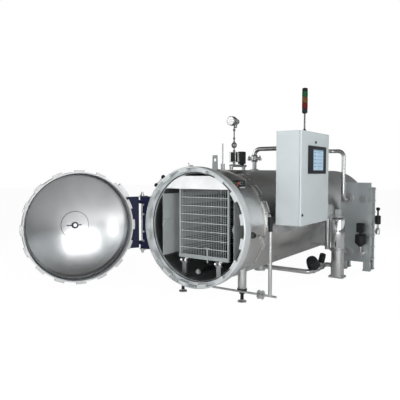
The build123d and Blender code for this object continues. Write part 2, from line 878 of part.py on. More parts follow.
def safety_valve():
    """The brass safety valve that stands on the overhead pipe."""
    top = overhead_height + pipe_radius
    body = column(overhead_x, safety_valve_y, overhead_height, top + safety_valve_height * 0.55,
                  safety_valve_radius)
    body += column(overhead_x, safety_valve_y, top, top + safety_valve_height, safety_valve_radius * 0.6)
    side = (overhead_x, safety_valve_y - 3.2 * safety_valve_radius, top + safety_valve_height * 0.3)
    body += rod((overhead_x, safety_valve_y, top + safety_valve_height * 0.3), side, safety_valve_radius * 0.8)
    along = rod(
        (overhead_x, safety_valve_y - 150, overhead_height), (overhead_x, safety_valve_y + 150, overhead_height),
        pipe_radius,
    )
    return {"safety_valve": body - along}


def cabinet():
    """Hollow control cabinet with its door, screen, brackets and signal tower."""
    parts = {}
    door_back = cabinet_front - cabinet_door_wall
    box_front = door_back - cabinet_door_gap
    low = (cabinet_x, cabinet_y, cabinet_bottom)
    high = (box_front, cabinet_end, cabinet_top)
    body = block(low, high)
    body -= block(
        [value + cabinet_wall for value in low],
        (cabinet_front, cabinet_end - cabinet_wall, cabinet_top - cabinet_wall),
    )
    hinge_x = door_back + cabinet_door_wall / 2
    hinge_line = cabinet_end + cabinet_hinge_radius
    tabs = cabinet_hinge_levels()
    for base in tabs:
        body += column(hinge_x, hinge_line, base, base + cabinet_hinge_length, cabinet_hinge_radius)
        pin_top = base + 1.5 * cabinet_hinge_length
        body += column(hinge_x, hinge_line, base, pin_top, cabinet_pin_radius)
        body += block(
            (box_front - 30, cabinet_end, base), (hinge_x, cabinet_end + 3, base + cabinet_hinge_length)
        )
    parts["control_cabinet"] = body
    inner = cabinet_x + cabinet_wall
    parts["mounting_plate"] = mounting_plate(inner)
    leaf = block((door_back, cabinet_y, cabinet_bottom), (cabinet_front, cabinet_end, cabinet_top))
    leaf -= block(
        (door_back, cabinet_y + cabinet_door_lip, cabinet_bottom + cabinet_door_lip),
        (cabinet_front - cabinet_door_skin, cabinet_end - cabinet_door_lip, cabinet_top - cabinet_door_lip),
    )
    for base in tabs:
        notch = block(
            (door_back - 1, cabinet_end - 12, base - 3),
            (cabinet_front + 1, cabinet_end + 1, base + cabinet_hinge_length + 3),
        )
        leaf -= notch
        top = base + cabinet_hinge_length + 3
        leaf += column(hinge_x, hinge_line, top, top + cabinet_hinge_length / 2, cabinet_hinge_radius)
        leaf += block(
            (hinge_x - 2, cabinet_end - 1, top), (hinge_x + 2, hinge_line, top + cabinet_hinge_length / 2)
        )
        leaf -= column(
            hinge_x, hinge_line, base, top + cabinet_hinge_length, cabinet_pin_radius + pin_clearance
        )
    parts["cabinet_door"] = leaf
    screen = block(
        (cabinet_front, screen_y, screen_top - screen_height),
        (cabinet_front + screen_wall, screen_y + screen_width, screen_top),
    )
    parts["touch_screen"] = screen
    parts["cabinet_brackets"] = cabinet_brackets()
    parts["signal_tower"] = signal_tower()
    return parts


def cabinet_hinge_levels():
    """Heights at which the cabinet's door hinges start."""
    inset = cabinet_height * 0.12
    return [cabinet_bottom + inset, cabinet_top - inset - cabinet_hinge_length]


def mounting_plate(inner):
    """The plate inside the cabinet, on four stand-offs."""
    margin = mounting_plate_margin
    face = inner + mounting_plate_stand
    plate = block(
        (face, cabinet_y + margin, cabinet_bottom + margin),
        (face + mounting_plate_wall, cabinet_end - margin, cabinet_top - margin),
    )
    for y in (cabinet_y + 2 * margin, cabinet_end - 2 * margin):
        for z in (cabinet_bottom + 2 * margin, cabinet_top - 2 * margin):
            plate += rod((inner, y, z), (face, y, z), 8)
    return plate


def cabinet_brackets():
    """Two plates that reach from the vessel's side to the cabinet's back and floor."""
    brackets = Part()
    shelf = cabinet_bottom - bracket_wall
    for y in (cabinet_y + cabinet_bracket_inset, cabinet_end - cabinet_bracket_inset):
        outline = [
            (0, shelf - bracket_drop * 0.35),
            (cabinet_x + 60, shelf - bracket_drop * 0.35),
            (cabinet_front - 60, shelf),
            (0, shelf),
        ]
        low, high = y - bracket_wall / 2, y + bracket_wall / 2
        brackets += front_plate(outline, low, high) - disc_y(cladding_radius, low - 1, high + 1)
        brackets += block((cabinet_x, y - 30, shelf), (cabinet_front - 60, y + 30, cabinet_bottom))
    return brackets


def signal_tower():
    """A pole with a base, three light segments and a cap."""
    tower = column(tower_x, tower_y, cabinet_top, cabinet_top + 8, tower_radius)
    base = cabinet_top + tower_pole_height
    tower += column(tower_x, tower_y, cabinet_top, base, tower_pole_radius)
    tower += column(tower_x, tower_y, base, base + tower_base, tower_radius * 0.94)
    lights = base + tower_base
    for k in range(3):
        low = lights + k * tower_segment
        tower += column(tower_x, tower_y, low, low + tower_segment - 4, tower_radius)
        tower += column(tower_x, tower_y, low + tower_segment - 4, low + tower_segment, tower_radius * 0.9)
    top = lights + 3 * tower_segment
    tower += column(tower_x, tower_y, top, top + tower_cap, tower_radius * 0.94)
    return tower


def side_fittings():
    """Button box and sight port on the neck."""
    box = block(
        (button_x - button_depth, button_y, button_top - button_height - 20),
        (button_x, button_y + button_length, button_top),
    )
    box -= disc_y(neck_cover_radius, 0, seam_y)
    port_place = on_shell(neck_cover_radius, sight_angle, sight_y)
    port = port_place.location * Pos(0, 0, -10) * Cylinder(
        sight_radius, sight_reach + 10, align=(Align.CENTER, Align.CENTER, Align.MIN)
    )
    port -= disc_y(neck_cover_radius, 0, seam_y)
    return {"button_box": box, "sight_port": port}


def heat_exchanger():
    """Frame plates, the pack of thin sheets, tie bars, ports and feet."""
    parts = {}
    half = exchanger_width / 2
    left, right = exchanger_x - half, exchanger_x + half
    front_back = exchanger_y + exchanger_plate
    front = block((left, exchanger_y, exchanger_bottom), (right, front_back, exchanger_top))
    ports = [
        (exchanger_x - port_spacing / 2, upper_port),
        (exchanger_x + port_spacing / 2, upper_port),
        (exchanger_x - port_spacing / 2, lower_port),
        (exchanger_x + port_spacing / 2, lower_port),
    ]
    rear = block(
        (left, exchanger_back, exchanger_bottom), (right, exchanger_back + exchanger_plate, exchanger_top - 80)
    )
    ties, nuts = Part(), Part()
    span = exchanger_top - exchanger_bottom - 80 - 2 * tie_edge
    for k in range(tie_count):
        z = exchanger_bottom + tie_edge + span * k / (tie_count - 1)
        for x in (left + tie_edge / 2 + 4, right - tie_edge / 2 - 4):
            ties += rod((x, exchanger_y - 20, z), (x, exchanger_back + exchanger_plate + 60, z), tie_radius)
            nuts += rod((x, exchanger_y - 14, z), (x, exchanger_y, z), tie_nut)
            nuts += rod(
                (x, exchanger_back + exchanger_plate, z), (x, exchanger_back + exchanger_plate + 20, z), tie_nut
            )
    parts["exchanger_tie_bars"] = ties + nuts
    parts["exchanger_plates"] = (front + rear) - ties
    pack = Part()
    pitch = exchanger_pack / exchanger_sheets
    inset = exchanger_pack_inset + tie_radius
    for k in range(exchanger_sheets):
        low = front_back + k * pitch
        edge = inset if k % 2 else inset + exchanger_sheet_gap
        pack += block(
            (left + edge, low, exchanger_bottom + edge),
            (right - edge, low + pitch, exchanger_top - 80 - edge),
        )
    parts["exchanger_pack"] = pack
    flanges = Part()
    for k, (x, z) in enumerate(ports):
        radius = port_flange_radius if k in (0, 2) else port_flange_radius * 0.6
        flanges += rod((x, exchanger_y - port_flange_wall, z), (x, exchanger_y, z), radius)
    parts["exchanger_ports"] = flanges - ties - nuts
    feet = Part()
    for x in (left + exchanger_foot_width / 2, right - exchanger_foot_width / 2):
        for y in (exchanger_y, exchanger_back + exchanger_plate - exchanger_foot_depth):
            feet += block(
                (x - exchanger_foot_width / 2, y, exchanger_foot_pad),
                (x + exchanger_foot_width / 2, y + exchanger_foot_depth, exchanger_bottom),
            )
            feet += block(
                (x - exchanger_foot_width / 2 - 8, y - 8, 0),
                (x + exchanger_foot_width / 2 + 8, y + exchanger_foot_depth + 8, exchanger_foot_pad),
            )
    parts["exchanger_feet"] = feet
    parts.update(exchanger_valves())
    return parts


def exchanger_valves():
    """The control valve before the plate and the steam valve beside the rear plate."""
    x = exchanger_x + port_spacing / 2
    face = exchanger_y - port_flange_wall
    y = face - control_valve_stand
    body_top = lower_port + 120
    head_low = body_top + 60
    head_high = head_low + 130
    box_low = head_high + 35
    base = (Align.CENTER, Align.CENTER, Align.MIN)
    valve = rod((x, face, lower_port), (x, y - 40, lower_port), 34)
    valve += column(x, y, lower_port, body_top, 22)
    valve += Pos(x, y, body_top) * Cone(22, control_valve_radius, 60, align=base)
    valve += column(x, y, head_low, head_high, control_valve_radius)
    valve += column(x, y, head_high, box_low, 22)
    valve += block((x - 58, y - 45, box_low), (x + 58, y + 45, box_low + 145))
    rear = exchanger_back + exchanger_plate
    pipe_x = exchanger_x + port_spacing / 2
    side_x = exchanger_x + exchanger_width / 2 + steam_valve_reach
    y = rear + steam_valve_stand
    steam = pipe([(pipe_x, rear, steam_valve_z), (pipe_x, y, steam_valve_z), (side_x, y, steam_valve_z)], 22, 40)
    steam += column(side_x, y, steam_valve_z - 45, steam_valve_z + 60, 34)
    steam += column(side_x, y, steam_valve_z, steam_valve_z + 120, 16)
    steam += column(side_x, y, steam_valve_z + 120, steam_valve_z + 270, 46)
    steam += column(side_x, y, steam_valve_z + 270, steam_valve_z + 350, 14)
    steam += column(side_x, y, steam_valve_z + 350, steam_valve_z + 400, 30)
    return {"exchanger_valves": valve + steam}


def pump():
    """Vertical pump: base, lower casing, sleeve, motor under its polished cover."""
    x, y = pump_x, pump_y
    half = pump_base_width / 2
    casing = block((x - half, y - half * 0.8, 0), (x + half, y + half * 0.8, pump_base_height))
    casing += column(x, y, pump_base_height, pump_volute_top, pump_volute_radius)
    casing += rod((x - half, y, suction_height), (x, y, suction_height), suction_radius)
    casing += rod((x, y, suction_height), (x, y + half, suction_height), pipe_radius)
    casing += column(x, y, pump_volute_top, pump_body_top, pump_body_radius)
    flange_top = pump_body_top + pump_flange_height
    casing += column(x, y, pump_body_top, flange_top, pump_flange_radius)
    motor = column(x, y, flange_top, motor_top, motor_radius)
    lid = column(x, y, motor_top, motor_top + motor_lid, motor_radius * 0.72)
    box_half = motor_box_width / 2
    lid_top = motor_top + motor_lid
    lid += block(
        (x - box_half, y - box_half, lid_top), (x + box_half, y + box_half, lid_top + motor_box_height)
    )
    return {"pump_casing": casing, "pump_motor_cover": motor + lid}


def water_circuit():
    """Sump, suction and discharge pipes, angle valves, level standpipe."""
    parts = {}
    belly = disc_y(cladding_radius, suction_y - 300, suction_y + 300)
    sump = column(0, suction_y, suction_height - 60, axis_height, sump_radius) - belly
    pump_side = pump_x - pump_base_width / 2
    points = [
        (sump_radius * 0.6, suction_y, suction_height),
        (suction_valve_x, suction_y, suction_height),
        (suction_valve_x, pump_y, suction_height),
        (pump_side, pump_y, suction_height),
    ]
    suction = pipe(points[:3], suction_radius, bend_radius * 0.8)
    suction += rod(points[2], points[3], suction_radius)
    suction += Pos(*points[2]) * Sphere(suction_radius)
    parts["suction_pipe"] = suction + sump
    parts["angle_valves"] = angle_valves(suction)
    port_x = exchanger_x - port_spacing / 2
    out_y = pump_y + pump_base_width / 2
    points = [
        (pump_x, out_y, suction_height),
        (pump_x, out_y + 170, suction_height),
        (port_x, out_y + 170 + pump_x - port_x, suction_height),
        (port_x, drop_y + 60, lower_port),
        (port_x, exchanger_y - port_flange_wall, lower_port),
    ]
    parts["discharge_pipe"] = pipe(points, pipe_radius, bend_radius * 0.5)
    parts["level_standpipe"] = standpipe()
    return parts


def standpipe():
    """The level standpipe beside the shell, with a branch at each end."""
    tube = column(standpipe_x, standpipe_y, standpipe_bottom, standpipe_top, standpipe_radius)
    skin = disc_y(cladding_radius, standpipe_y - 100, standpipe_y + 100)
    for z in (standpipe_bottom + 60, standpipe_top - 60):
        branch = rod((0, standpipe_y, z), (standpipe_x, standpipe_y, z), standpipe_branch_radius)
        tube += branch - skin
    return tube & block((cladding_radius * 0.3, standpipe_y - 100, 0), (standpipe_x + 100, standpipe_y + 100, 2000))


def angle_valves(suction):
    """Two black angle-seat valves on the suction line: a large one and a slim one behind it."""
    base = (Align.CENTER, Align.CENTER, Align.MIN)
    large = Cylinder(valve_neck_radius, valve_neck_length, align=base)
    large += Pos(0, 0, valve_neck_length) * Cone(
        valve_head_radius, valve_head_radius * 0.84, valve_head_length, align=base
    )
    large = Pos(suction_valve_x, valve_y, suction_height) * Rot(valve_tilt, 0, 0) * large
    slim = Cylinder(valve_neck_radius, valve_neck_length, align=base)
    slim += Pos(0, 0, valve_neck_length) * Cylinder(slim_valve_radius, slim_valve_length, align=base)
    slim = Pos(suction_valve_x, slim_valve_y, suction_height) * Rot(-slim_valve_tilt, 0, 0) * slim
    return (large + slim) - suction


def drain():
    """The thin drain line under the mouth and the post with its funnel."""
    line = rod((drain_start, drain_y, drain_height), (drain_end, drain_y, drain_height), drain_radius)
    top = surface_drop(neck_cover_radius, drain_start)
    line += column(drain_start + drain_radius, drain_y, drain_height, top + 20, drain_radius)
    for x in (drain_clamp_x - 24, drain_clamp_x + 24):
        line += rod((x, drain_y, drain_height), (x + drain_clamp_wall, drain_y, drain_height), drain_clamp_radius)
    line -= disc_y(neck_cover_radius, 0, seam_y)
    post = column(tundish_x, drain_y, drain_height, tundish_top, tundish_radius)
    cone = Pos(tundish_x, drain_y, tundish_top) * Cone(
        tundish_radius, tundish_cone_radius, tundish_cone_height,
        align=(Align.CENTER, Align.CENTER, Align.MIN),
    )
    return {"drain_pipe": line - post, "tundish": post + cone}


def swing_door(parts):
    """Turn the closed door to the open place that it stands in."""
    pivot = Pos(-hinge_offset, hinge_y, 0)
    turn = pivot * Rot(0, 0, -door_open_angle) * pivot.inverse()
    return {name: turn * shape for name, shape in parts.items()}


def build():
    """Every piece by name, with the origin under the middle of the whole."""
    parts = {}
    for section in (
        vessel(),
        bayonet(),
        swing_door(door()),
        hinge(),
        legs(),
        chamber(),
        top_fittings(),
        safety_valve(),
        cabinet(),
        side_fittings(),
        heat_exchanger(),
        pump(),
        water_circuit(),
        drain(),
    ):
        parts.update(section)
    box = Compound(children=[Part() + shape for shape in parts.values()]).bounding_box()
    centre = box.center()
    shift = Pos(-centre.X, -centre.Y, -box.min.Z)
    print("origin shift", round(-centre.X, 3), round(-centre.Y, 3), round(-box.min.Z, 3))
    return {name: shift * shape for name, shape in parts.items()}


os.makedirs("parts", exist_ok=True)
for name, shape in build().items():
    export_step(shape, f"parts/{name}.step")
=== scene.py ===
import bpy, bmesh, math
from mathutils import Vector, Matrix


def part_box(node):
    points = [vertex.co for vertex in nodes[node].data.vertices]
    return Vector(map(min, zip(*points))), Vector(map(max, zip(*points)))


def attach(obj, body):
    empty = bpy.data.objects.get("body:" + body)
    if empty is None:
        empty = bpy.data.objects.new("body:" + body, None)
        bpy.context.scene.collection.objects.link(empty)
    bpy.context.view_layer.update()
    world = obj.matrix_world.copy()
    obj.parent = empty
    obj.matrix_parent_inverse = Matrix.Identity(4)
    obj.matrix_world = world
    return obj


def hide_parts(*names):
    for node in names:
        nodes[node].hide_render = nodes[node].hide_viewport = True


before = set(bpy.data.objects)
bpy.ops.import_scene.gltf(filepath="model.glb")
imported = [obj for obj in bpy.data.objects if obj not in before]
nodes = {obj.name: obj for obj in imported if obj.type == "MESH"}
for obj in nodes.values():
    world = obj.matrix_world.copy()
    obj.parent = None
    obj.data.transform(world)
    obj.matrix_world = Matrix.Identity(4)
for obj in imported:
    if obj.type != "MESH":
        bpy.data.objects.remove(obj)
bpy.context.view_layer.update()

# the vessel's axis, its mouth and its radii come from the frame's own boxes
neckLow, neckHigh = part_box("neck_cover")
ringLow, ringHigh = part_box("locking_ring")
axisX = (neckLow[0] + neckHigh[0]) / 2
axisZ = (neckLow[2] + neckHigh[2]) / 2
mouthY = ringLow[1]
neckR = (neckHigh[0] - neckLow[0]) / 2
ringR = (ringHigh[0] - ringLow[0]) / 2


def spot(x, y, z):  # from the mouth's centre line at floor level to the frame
    return Vector((x + axisX, y + mouthY, z))


# the photograph's camera
shot = {"x": 3.2578, "y": -4.4977, "z": 1.5711, "yaw": 34.87, "pitch": -3.33, "focal": 42.3}
lens = bpy.data.cameras.new("photoCamera")
lens.lens = shot["focal"]
lens.sensor_width = 36.0
lens.clip_end = 100.0
camera = bpy.data.objects.new("photoCamera", lens)
bpy.context.collection.objects.link(camera)
camera.location = spot(shot["x"], shot["y"], shot["z"])
camera.rotation_euler = (math.radians(90 + shot["pitch"]), 0, math.radians(shot["yaw"]))
bpy.context.scene.camera = camera
bpy.context.scene.view_settings.view_transform = "Standard"


# small node helper: node(tree, kind, {socket: value or link}, attribute=value)
def node(tree, kind, feeds=None, **settings):
    made = tree.nodes.new(kind)
    for name, value in settings.items():
        setattr(made, name, value)
    for name, value in (feeds or {}).items():
        socket = made.inputs[name]
        if isinstance(value, bpy.types.NodeSocket):
            tree.links.new(value, socket)
        else:
            socket.default_value = value
    return made


def ramp(tree, value, stops):
    made = node(tree, "ShaderNodeValToRGB", {"Fac": value})
    cells = made.color_ramp.elements
    while len(cells) < len(stops):
        cells.new(0.5)
    for cell, (where, colour) in zip(cells, stops):
        cell.position = where
        cell.color = (*colour, 1)
    return made.outputs["Color"]


# world: white behind the object, and a studio that gets darker and warmer overhead
studio = {"ambient": 0.62, "sky": (0.105, 0.102, 0.098), "band": (0.74, 0.77, 0.785),
    "floor": (0.60, 0.645, 0.66), "behind": 0.38,
          "front": (0.572, -0.820)}
world = bpy.data.worlds.new("studio")
bpy.context.scene.world = world
world.use_nodes = True
sky = world.node_tree
sky.nodes.clear()
look = node(sky, "ShaderNodeTexCoord")
parts = node(sky, "ShaderNodeSeparateXYZ", {"Vector": look.outputs["Generated"]})
height = node(sky, "ShaderNodeMapRange", {"Value": parts.outputs["Z"], "From Min": -1.0, "From Max": 1.0})
shade = ramp(sky, height.outputs["Result"], [
    (0.0, studio["floor"]), (0.44, studio["floor"]), (0.50, studio["band"]), (0.57, studio["band"]),
    (0.75, studio["sky"]), (1.0, studio["sky"])])
# the studio is darker behind the object than before it, so that round metal gets a dark edge
before = node(sky, "ShaderNodeVectorMath", {0: look.outputs["Generated"], 1: (*studio["front"], 0)},
    operation="DOT_PRODUCT")
depthShade = node(sky, "ShaderNodeMapRange", {"Value": before.outputs["Value"], "From Min": -0.97,
    "From Max": -0.35, "To Min": studio["behind"], "To Max": 1.0})
rays = node(sky, "ShaderNodeLightPath")
lit = node(sky, "ShaderNodeBackground", {"Color": shade, "Strength": studio["ambient"]})
mirror = node(sky, "ShaderNodeBackground", {"Color": shade, "Strength": depthShade.outputs["Result"]})
white = node(sky, "ShaderNodeBackground", {"Color": (1, 1, 1, 1), "Strength": 1.0})
shiny = node(sky, "ShaderNodeMixShader", {0: rays.outputs["Is Glossy Ray"], 1: lit.outputs[0],
    2: mirror.outputs[0]})
clear = node(sky, "ShaderNodeMixShader", {0: rays.outputs["Is Transmission Ray"], 1: shiny.outputs[0],
    2: white.outputs[0]})
seen = node(sky, "ShaderNodeMixShader", {0: rays.outputs["Is Camera Ray"], 1: clear.outputs[0],
    2: white.outputs[0]})
node(sky, "ShaderNodeOutputWorld", {"Surface": seen.outputs[0]})


def softbox(name, where, aim, size, watts, mirrored=True):
    lamp = bpy.data.lights.new(name, "AREA")
    lamp.shape = "RECTANGLE"
    lamp.size, lamp.size_y = size
    lamp.energy = watts
    holder = bpy.data.objects.new(name, lamp)
    bpy.context.collection.objects.link(holder)
    holder.location = where
    holder.rotation_euler = (Vector(aim) - Vector(where)).to_track_quat("-Z", "Y").to_euler()
    holder.visible_camera = False
    holder.visible_glossy = mirrored
    return holder


keyLight = softbox("keyLight", spot(6.3, -2.95, 1.75), spot(-1.2, -0.5, 0.8), (3.6, 2.2), 125)
softbox("topLight", spot(5.0, -4.0, 4.6), spot(0, 1.5, 0.9), (3.0, 2.4), 150, mirrored=False)
softbox("mouthLight", spot(2.4, -5.4, 1.5), spot(-0.3, 0.5, 0.9), (1.4, 1.2), 210, mirrored=False)
softbox("slimLight", spot(3.62, -4.95, 0.70), spot(-1.1, -0.3, 0.84), (0.30, 1.3), 14)
softbox("fillLight", spot(-5.0, -2.5, 3.2), spot(0, 1.0, 0.9), (3.0, 2.0), 70)
softbox("backLight", spot(2.5, 7.5, 4.0), spot(0, 2.5, 1.0), (3.0, 2.0), 100, mirrored=False)
# the key light leaves the body's sheet alone, or its mirror image would burn out on the curve
spared = bpy.data.collections.new("sheetOutOfKeyLight")
for name in ("neck_cover", "body_cladding", "rear_cover", "rear_head"):
    spared.objects.link(nodes[name])
keyLight.light_linking.receiver_collection = spared
for member in spared.collection_objects:
    member.light_linking.link_state = "EXCLUDE"

# floor: near white to the camera with the object's soft shadow, pale and matte to all other rays
floorMesh = bpy.data.meshes.new("floor")
floorMesh.from_pydata([(-40, -40, 0), (40, -40, 0), (40, 40, 0), (-40, 40, 0)], [], [(0, 1, 2, 3)])
floor = bpy.data.objects.new("floor", floorMesh)
bpy.context.collection.objects.link(floor)
floor.location.z = -0.0005
paper = bpy.data.materials.new("paperFloor")
paper.use_nodes = True
tree = paper.node_tree
tree.nodes.clear()
rays = node(tree, "ShaderNodeLightPath")
glow = node(tree, "ShaderNodeEmission", {"Color": (1, 1, 1, 1), "Strength": 1.05})
dull = node(tree, "ShaderNodeBsdfDiffuse", {"Color": (0.86, 0.86, 0.86, 1)})
mixed = node(tree, "ShaderNodeMixShader", {0: 0.92, 1: dull.outputs[0], 2: glow.outputs[0]})
flat = node(tree, "ShaderNodeMixShader", {0: rays.outputs["Is Camera Ray"], 1: dull.outputs[0],
    2: mixed.outputs[0]})
node(tree, "ShaderNodeOutputMaterial", {"Surface": flat.outputs[0]})
floor.data.materials.append(paper)
print("stage: camera, lamps and floor")


# materials, all on Object coordinates
def steel(name, colour, rough, grain=(60, 60, 6), depth=0.02, blotch=0.10):
    made = bpy.data.materials.new(name)
    made.use_nodes = True
    tree = made.node_tree
    shader = tree.nodes["Principled BSDF"]
    where = node(tree, "ShaderNodeTexCoord").outputs["Object"]
    stretched = node(tree, "ShaderNodeMapping", {"Vector": where, "Scale": grain})
    lines = node(tree, "ShaderNodeTexNoise", {"Vector": stretched.outputs[0], "Scale": 5.0, "Detail": 3.0,
        "Roughness": 0.7})
    cloud = node(tree, "ShaderNodeTexNoise", {"Vector": where, "Scale": 2.3, "Detail": 4.0})
    deep = tuple(c * (1 - blotch) for c in colour)
    pale = tuple(min(1.0, c * (1 + blotch)) for c in colour)
    tint = ramp(tree, cloud.outputs["Fac"], [(0.3, deep), (0.7, pale)])
    streak = node(tree, "ShaderNodeMix", {0: 0.16, 6: tint}, data_type="RGBA", blend_type="OVERLAY")
    tree.links.new(lines.outputs["Color"], streak.inputs[7])
    rub = node(tree, "ShaderNodeMapRange", {"Value": lines.outputs["Fac"], "To Min": rough * 0.8,
        "To Max": rough * 1.25})
    bump = node(tree, "ShaderNodeBump", {"Height": lines.outputs["Fac"], "Strength": depth,
        "Distance": 0.002})
    tree.links.new(streak.outputs[2], shader.inputs["Base Color"])
    tree.links.new(rub.outputs[0], shader.inputs["Roughness"])
    tree.links.new(bump.outputs[0], shader.inputs["Normal"])
    shader.inputs["Metallic"].default_value = 1.0
    return made


def coat(name, colour, rough, speck=90.0, depth=0.05, wear=0.06, metallic=0.0, gloss=0.5):
    made = bpy.data.materials.new(name)
    made.use_nodes = True
    tree = made.node_tree
    shader = tree.nodes["Principled BSDF"]
    where = node(tree, "ShaderNodeTexCoord").outputs["Object"]
    fine = node(tree, "ShaderNodeTexNoise", {"Vector": where, "Scale": speck, "Detail": 2.0})
    broad = node(tree, "ShaderNodeTexNoise", {"Vector": where, "Scale": 5.0, "Detail": 3.0})
    deep = tuple(c * (1 - wear) for c in colour)
    pale = tuple(min(1.0, c * (1 + wear) + wear * 0.02) for c in colour)
    tree.links.new(ramp(tree, broad.outputs["Fac"], [(0.35, deep), (0.65, pale)]),
        shader.inputs["Base Color"])
    rub = node(tree, "ShaderNodeMapRange", {"Value": fine.outputs["Fac"], "To Min": rough * 0.85,
        "To Max": rough * 1.15})
    tree.links.new(rub.outputs[0], shader.inputs["Roughness"])
    bump = node(tree, "ShaderNodeBump", {"Height": fine.outputs["Fac"], "Strength": depth, "Distance": 0.001})
    tree.links.new(bump.outputs[0], shader.inputs["Normal"])
    shader.inputs["Metallic"].default_value = metallic
    shader.inputs["Specular IOR Level"].default_value = gloss
    return made


finishes = {
    "claddingSheet": steel("claddingSheet", (0.62, 0.615, 0.605), 0.30, (70, 4, 70)),
    "shellPlate": steel("shellPlate", (0.50, 0.51, 0.52), 0.36, (30, 30, 30)),
    "turnedRing": coat("turnedRing", (0.66, 0.69, 0.70), 0.42, depth=0.03, wear=0.02, metallic=0.50),
    "doorEdge": coat("doorEdge", (0.50, 0.51, 0.515), 0.5, metallic=0.35),
    "doorDish": steel("doorDish", (0.52, 0.53, 0.54), 0.22, (20, 20, 20), depth=0.01),
    "pipeTube": steel("pipeTube", (0.62, 0.625, 0.63), 0.27, (40, 40, 40), depth=0.01),
    "frameSteel": steel("frameSteel", (0.47, 0.485, 0.49), 0.40, (20, 20, 60)),
    "plateSteel": steel("plateSteel", (0.64, 0.685, 0.70), 0.40, (20, 20, 60), blotch=0.05),
    "poleSteel": steel("poleSteel", (0.20, 0.205, 0.21), 0.45, (20, 20, 60)),
    "cabinetSteel": coat("cabinetSteel", (0.66, 0.71, 0.73), 0.38, wear=0.015, metallic=0.45),
    "cabinetFront": coat("cabinetFront", (0.66, 0.72, 0.735), 0.42, wear=0.015, metallic=0.20),
    "innerSheet": steel("innerSheet", (0.52, 0.54, 0.54), 0.40, (40, 6, 40)),
    "panelSheet": coat("panelSheet", (0.44, 0.47, 0.47), 0.42, depth=0.02, metallic=0.35),
    "rackSteel": coat("rackSteel", (0.40, 0.44, 0.44), 0.42, metallic=0.35),
    "wireBright": coat("wireBright", (0.52, 0.56, 0.555), 0.36, metallic=0.4),
    "shelfSteel": steel("shelfSteel", (0.075, 0.082, 0.082), 0.46, (40, 40, 40)),
    "wireSteel": steel("wireSteel", (0.64, 0.645, 0.64), 0.32, (40, 40, 40)),
    "seamSteel": steel("seamSteel", (0.86, 0.84, 0.82), 0.34, (40, 40, 40)),
    "mirrorTube": steel("mirrorTube", (0.78, 0.79, 0.80), 0.10, (30, 30, 30), depth=0.005),
    "brassBody": steel("brassBody", (0.62, 0.52, 0.30), 0.30, (40, 40, 40)),
    "navyPaint": coat("navyPaint", (0.008, 0.010, 0.034), 0.52, gloss=0.3),
    "darkPaint": coat("darkPaint", (0.010, 0.012, 0.018), 0.46, gloss=0.22),
    "greyPaint": coat("greyPaint", (0.36, 0.38, 0.39), 0.40),
    "blackPlastic": coat("blackPlastic", (0.010, 0.011, 0.012), 0.46, depth=0.08, gloss=0.3),
    "whitePlastic": coat("whitePlastic", (0.80, 0.80, 0.79), 0.40),
    "trayWhite": coat("trayWhite", (0.74, 0.75, 0.75), 0.42),
    "gasketRubber": coat("gasketRubber", (0.02, 0.02, 0.02), 0.6),
    "screenGlass": coat("screenGlass", (0.45, 0.66, 0.84), 0.12),
    "screenInk": coat("screenInk", (0.12, 0.30, 0.48), 0.15),
    "redLens": coat("redLens", (0.10, 0.006, 0.008), 0.55, gloss=0.2),
    "amberLens": coat("amberLens", (0.11, 0.050, 0.014), 0.55, gloss=0.2),
    "greenLens": coat("greenLens", (0.008, 0.060, 0.018), 0.55, gloss=0.2),
    "greenButton": coat("greenButton", (0.03, 0.42, 0.14), 0.3),
    "redButton": coat("redButton", (0.42, 0.03, 0.03), 0.3),
}
wearing = {
    "claddingSheet": ["neck_cover", "body_cladding", "rear_cover"],
    "seamSteel": ["seam_band"],
    "shellPlate": ["vessel_shell", "rear_head", "door_arm", "sight_port", "riser_valve",
                   "exchanger_ports", "exchanger_pack"],
    "wireSteel": ["pump_casing"],
    "turnedRing": ["locking_ring", "ring_lugs", "ring_lip", "ring_slide_pads", "front_flange"],
    "doorEdge": ["door_rim", "door_lugs"],
    "doorDish": ["door_head", "door_centre_pad"],
    "pipeTube": ["overhead_pipe", "suction_pipe", "discharge_pipe", "level_standpipe", "drain_pipe",
    "tundish",
                 "legs", "steam_pipe", "hinge_pin", "exchanger_tie_bars"],
    "plateSteel": ["exchanger_plates", "exchanger_feet"],
    "frameSteel": ["instrument_manifold", "cabinet_brackets", "lifting_lugs", "mounting_plate"],
    "cabinetSteel": ["control_cabinet"],
    "cabinetFront": ["cabinet_door"],
    "innerSheet": ["rack_tracks"],
    "panelSheet": ["side_panels"],
    "rackSteel": ["rack_posts"],
    "wireBright": ["rack_front_grille"],
    "shelfSteel": ["rack_shelves"],
    "mirrorTube": ["pump_motor_cover"],
    "brassBody": ["safety_valve"],
    "navyPaint": ["hinge_bracket", "door_hinge_leaf"],
    "darkPaint": ["levelling_feet", "touch_screen"],
    "blackPlastic": ["ring_hand_bar", "angle_valves", "exchanger_valves", "signal_tower",
    "top_instruments", "button_box"],
    "whitePlastic": ["track_rollers"],
    "trayWhite": ["ceiling_tray"],
    "gasketRubber": ["door_gasket"],
}
for finish, names in wearing.items():
    for name in names:
        piece = nodes[name]
        if not piece.material_slots:
            piece.data.materials.append(finishes[finish])
        for cell in piece.material_slots:
            cell.material = finishes[finish]
print("materials on", sum(len(names) for names in wearing.values()), "pieces of the frame")


# mesh helpers: each adds a form to an open bmesh
def facing(base, axis):  # matrix with Z along the axis
    turn = Vector(axis).to_track_quat("Z", "Y").to_matrix().to_4x4()
    turn.translation = Vector(base)
    return turn


def addTube(bm, start, end, radius, endRadius=None, sides=32):
    start, end = Vector(start), Vector(end)
    run = end - start
    bmesh.ops.create_cone(bm, cap_ends=True, segments=sides, radius1=radius,
                          radius2=radius if endRadius is None else endRadius,
                          depth=run.length, matrix=facing((start + end) / 2, run))


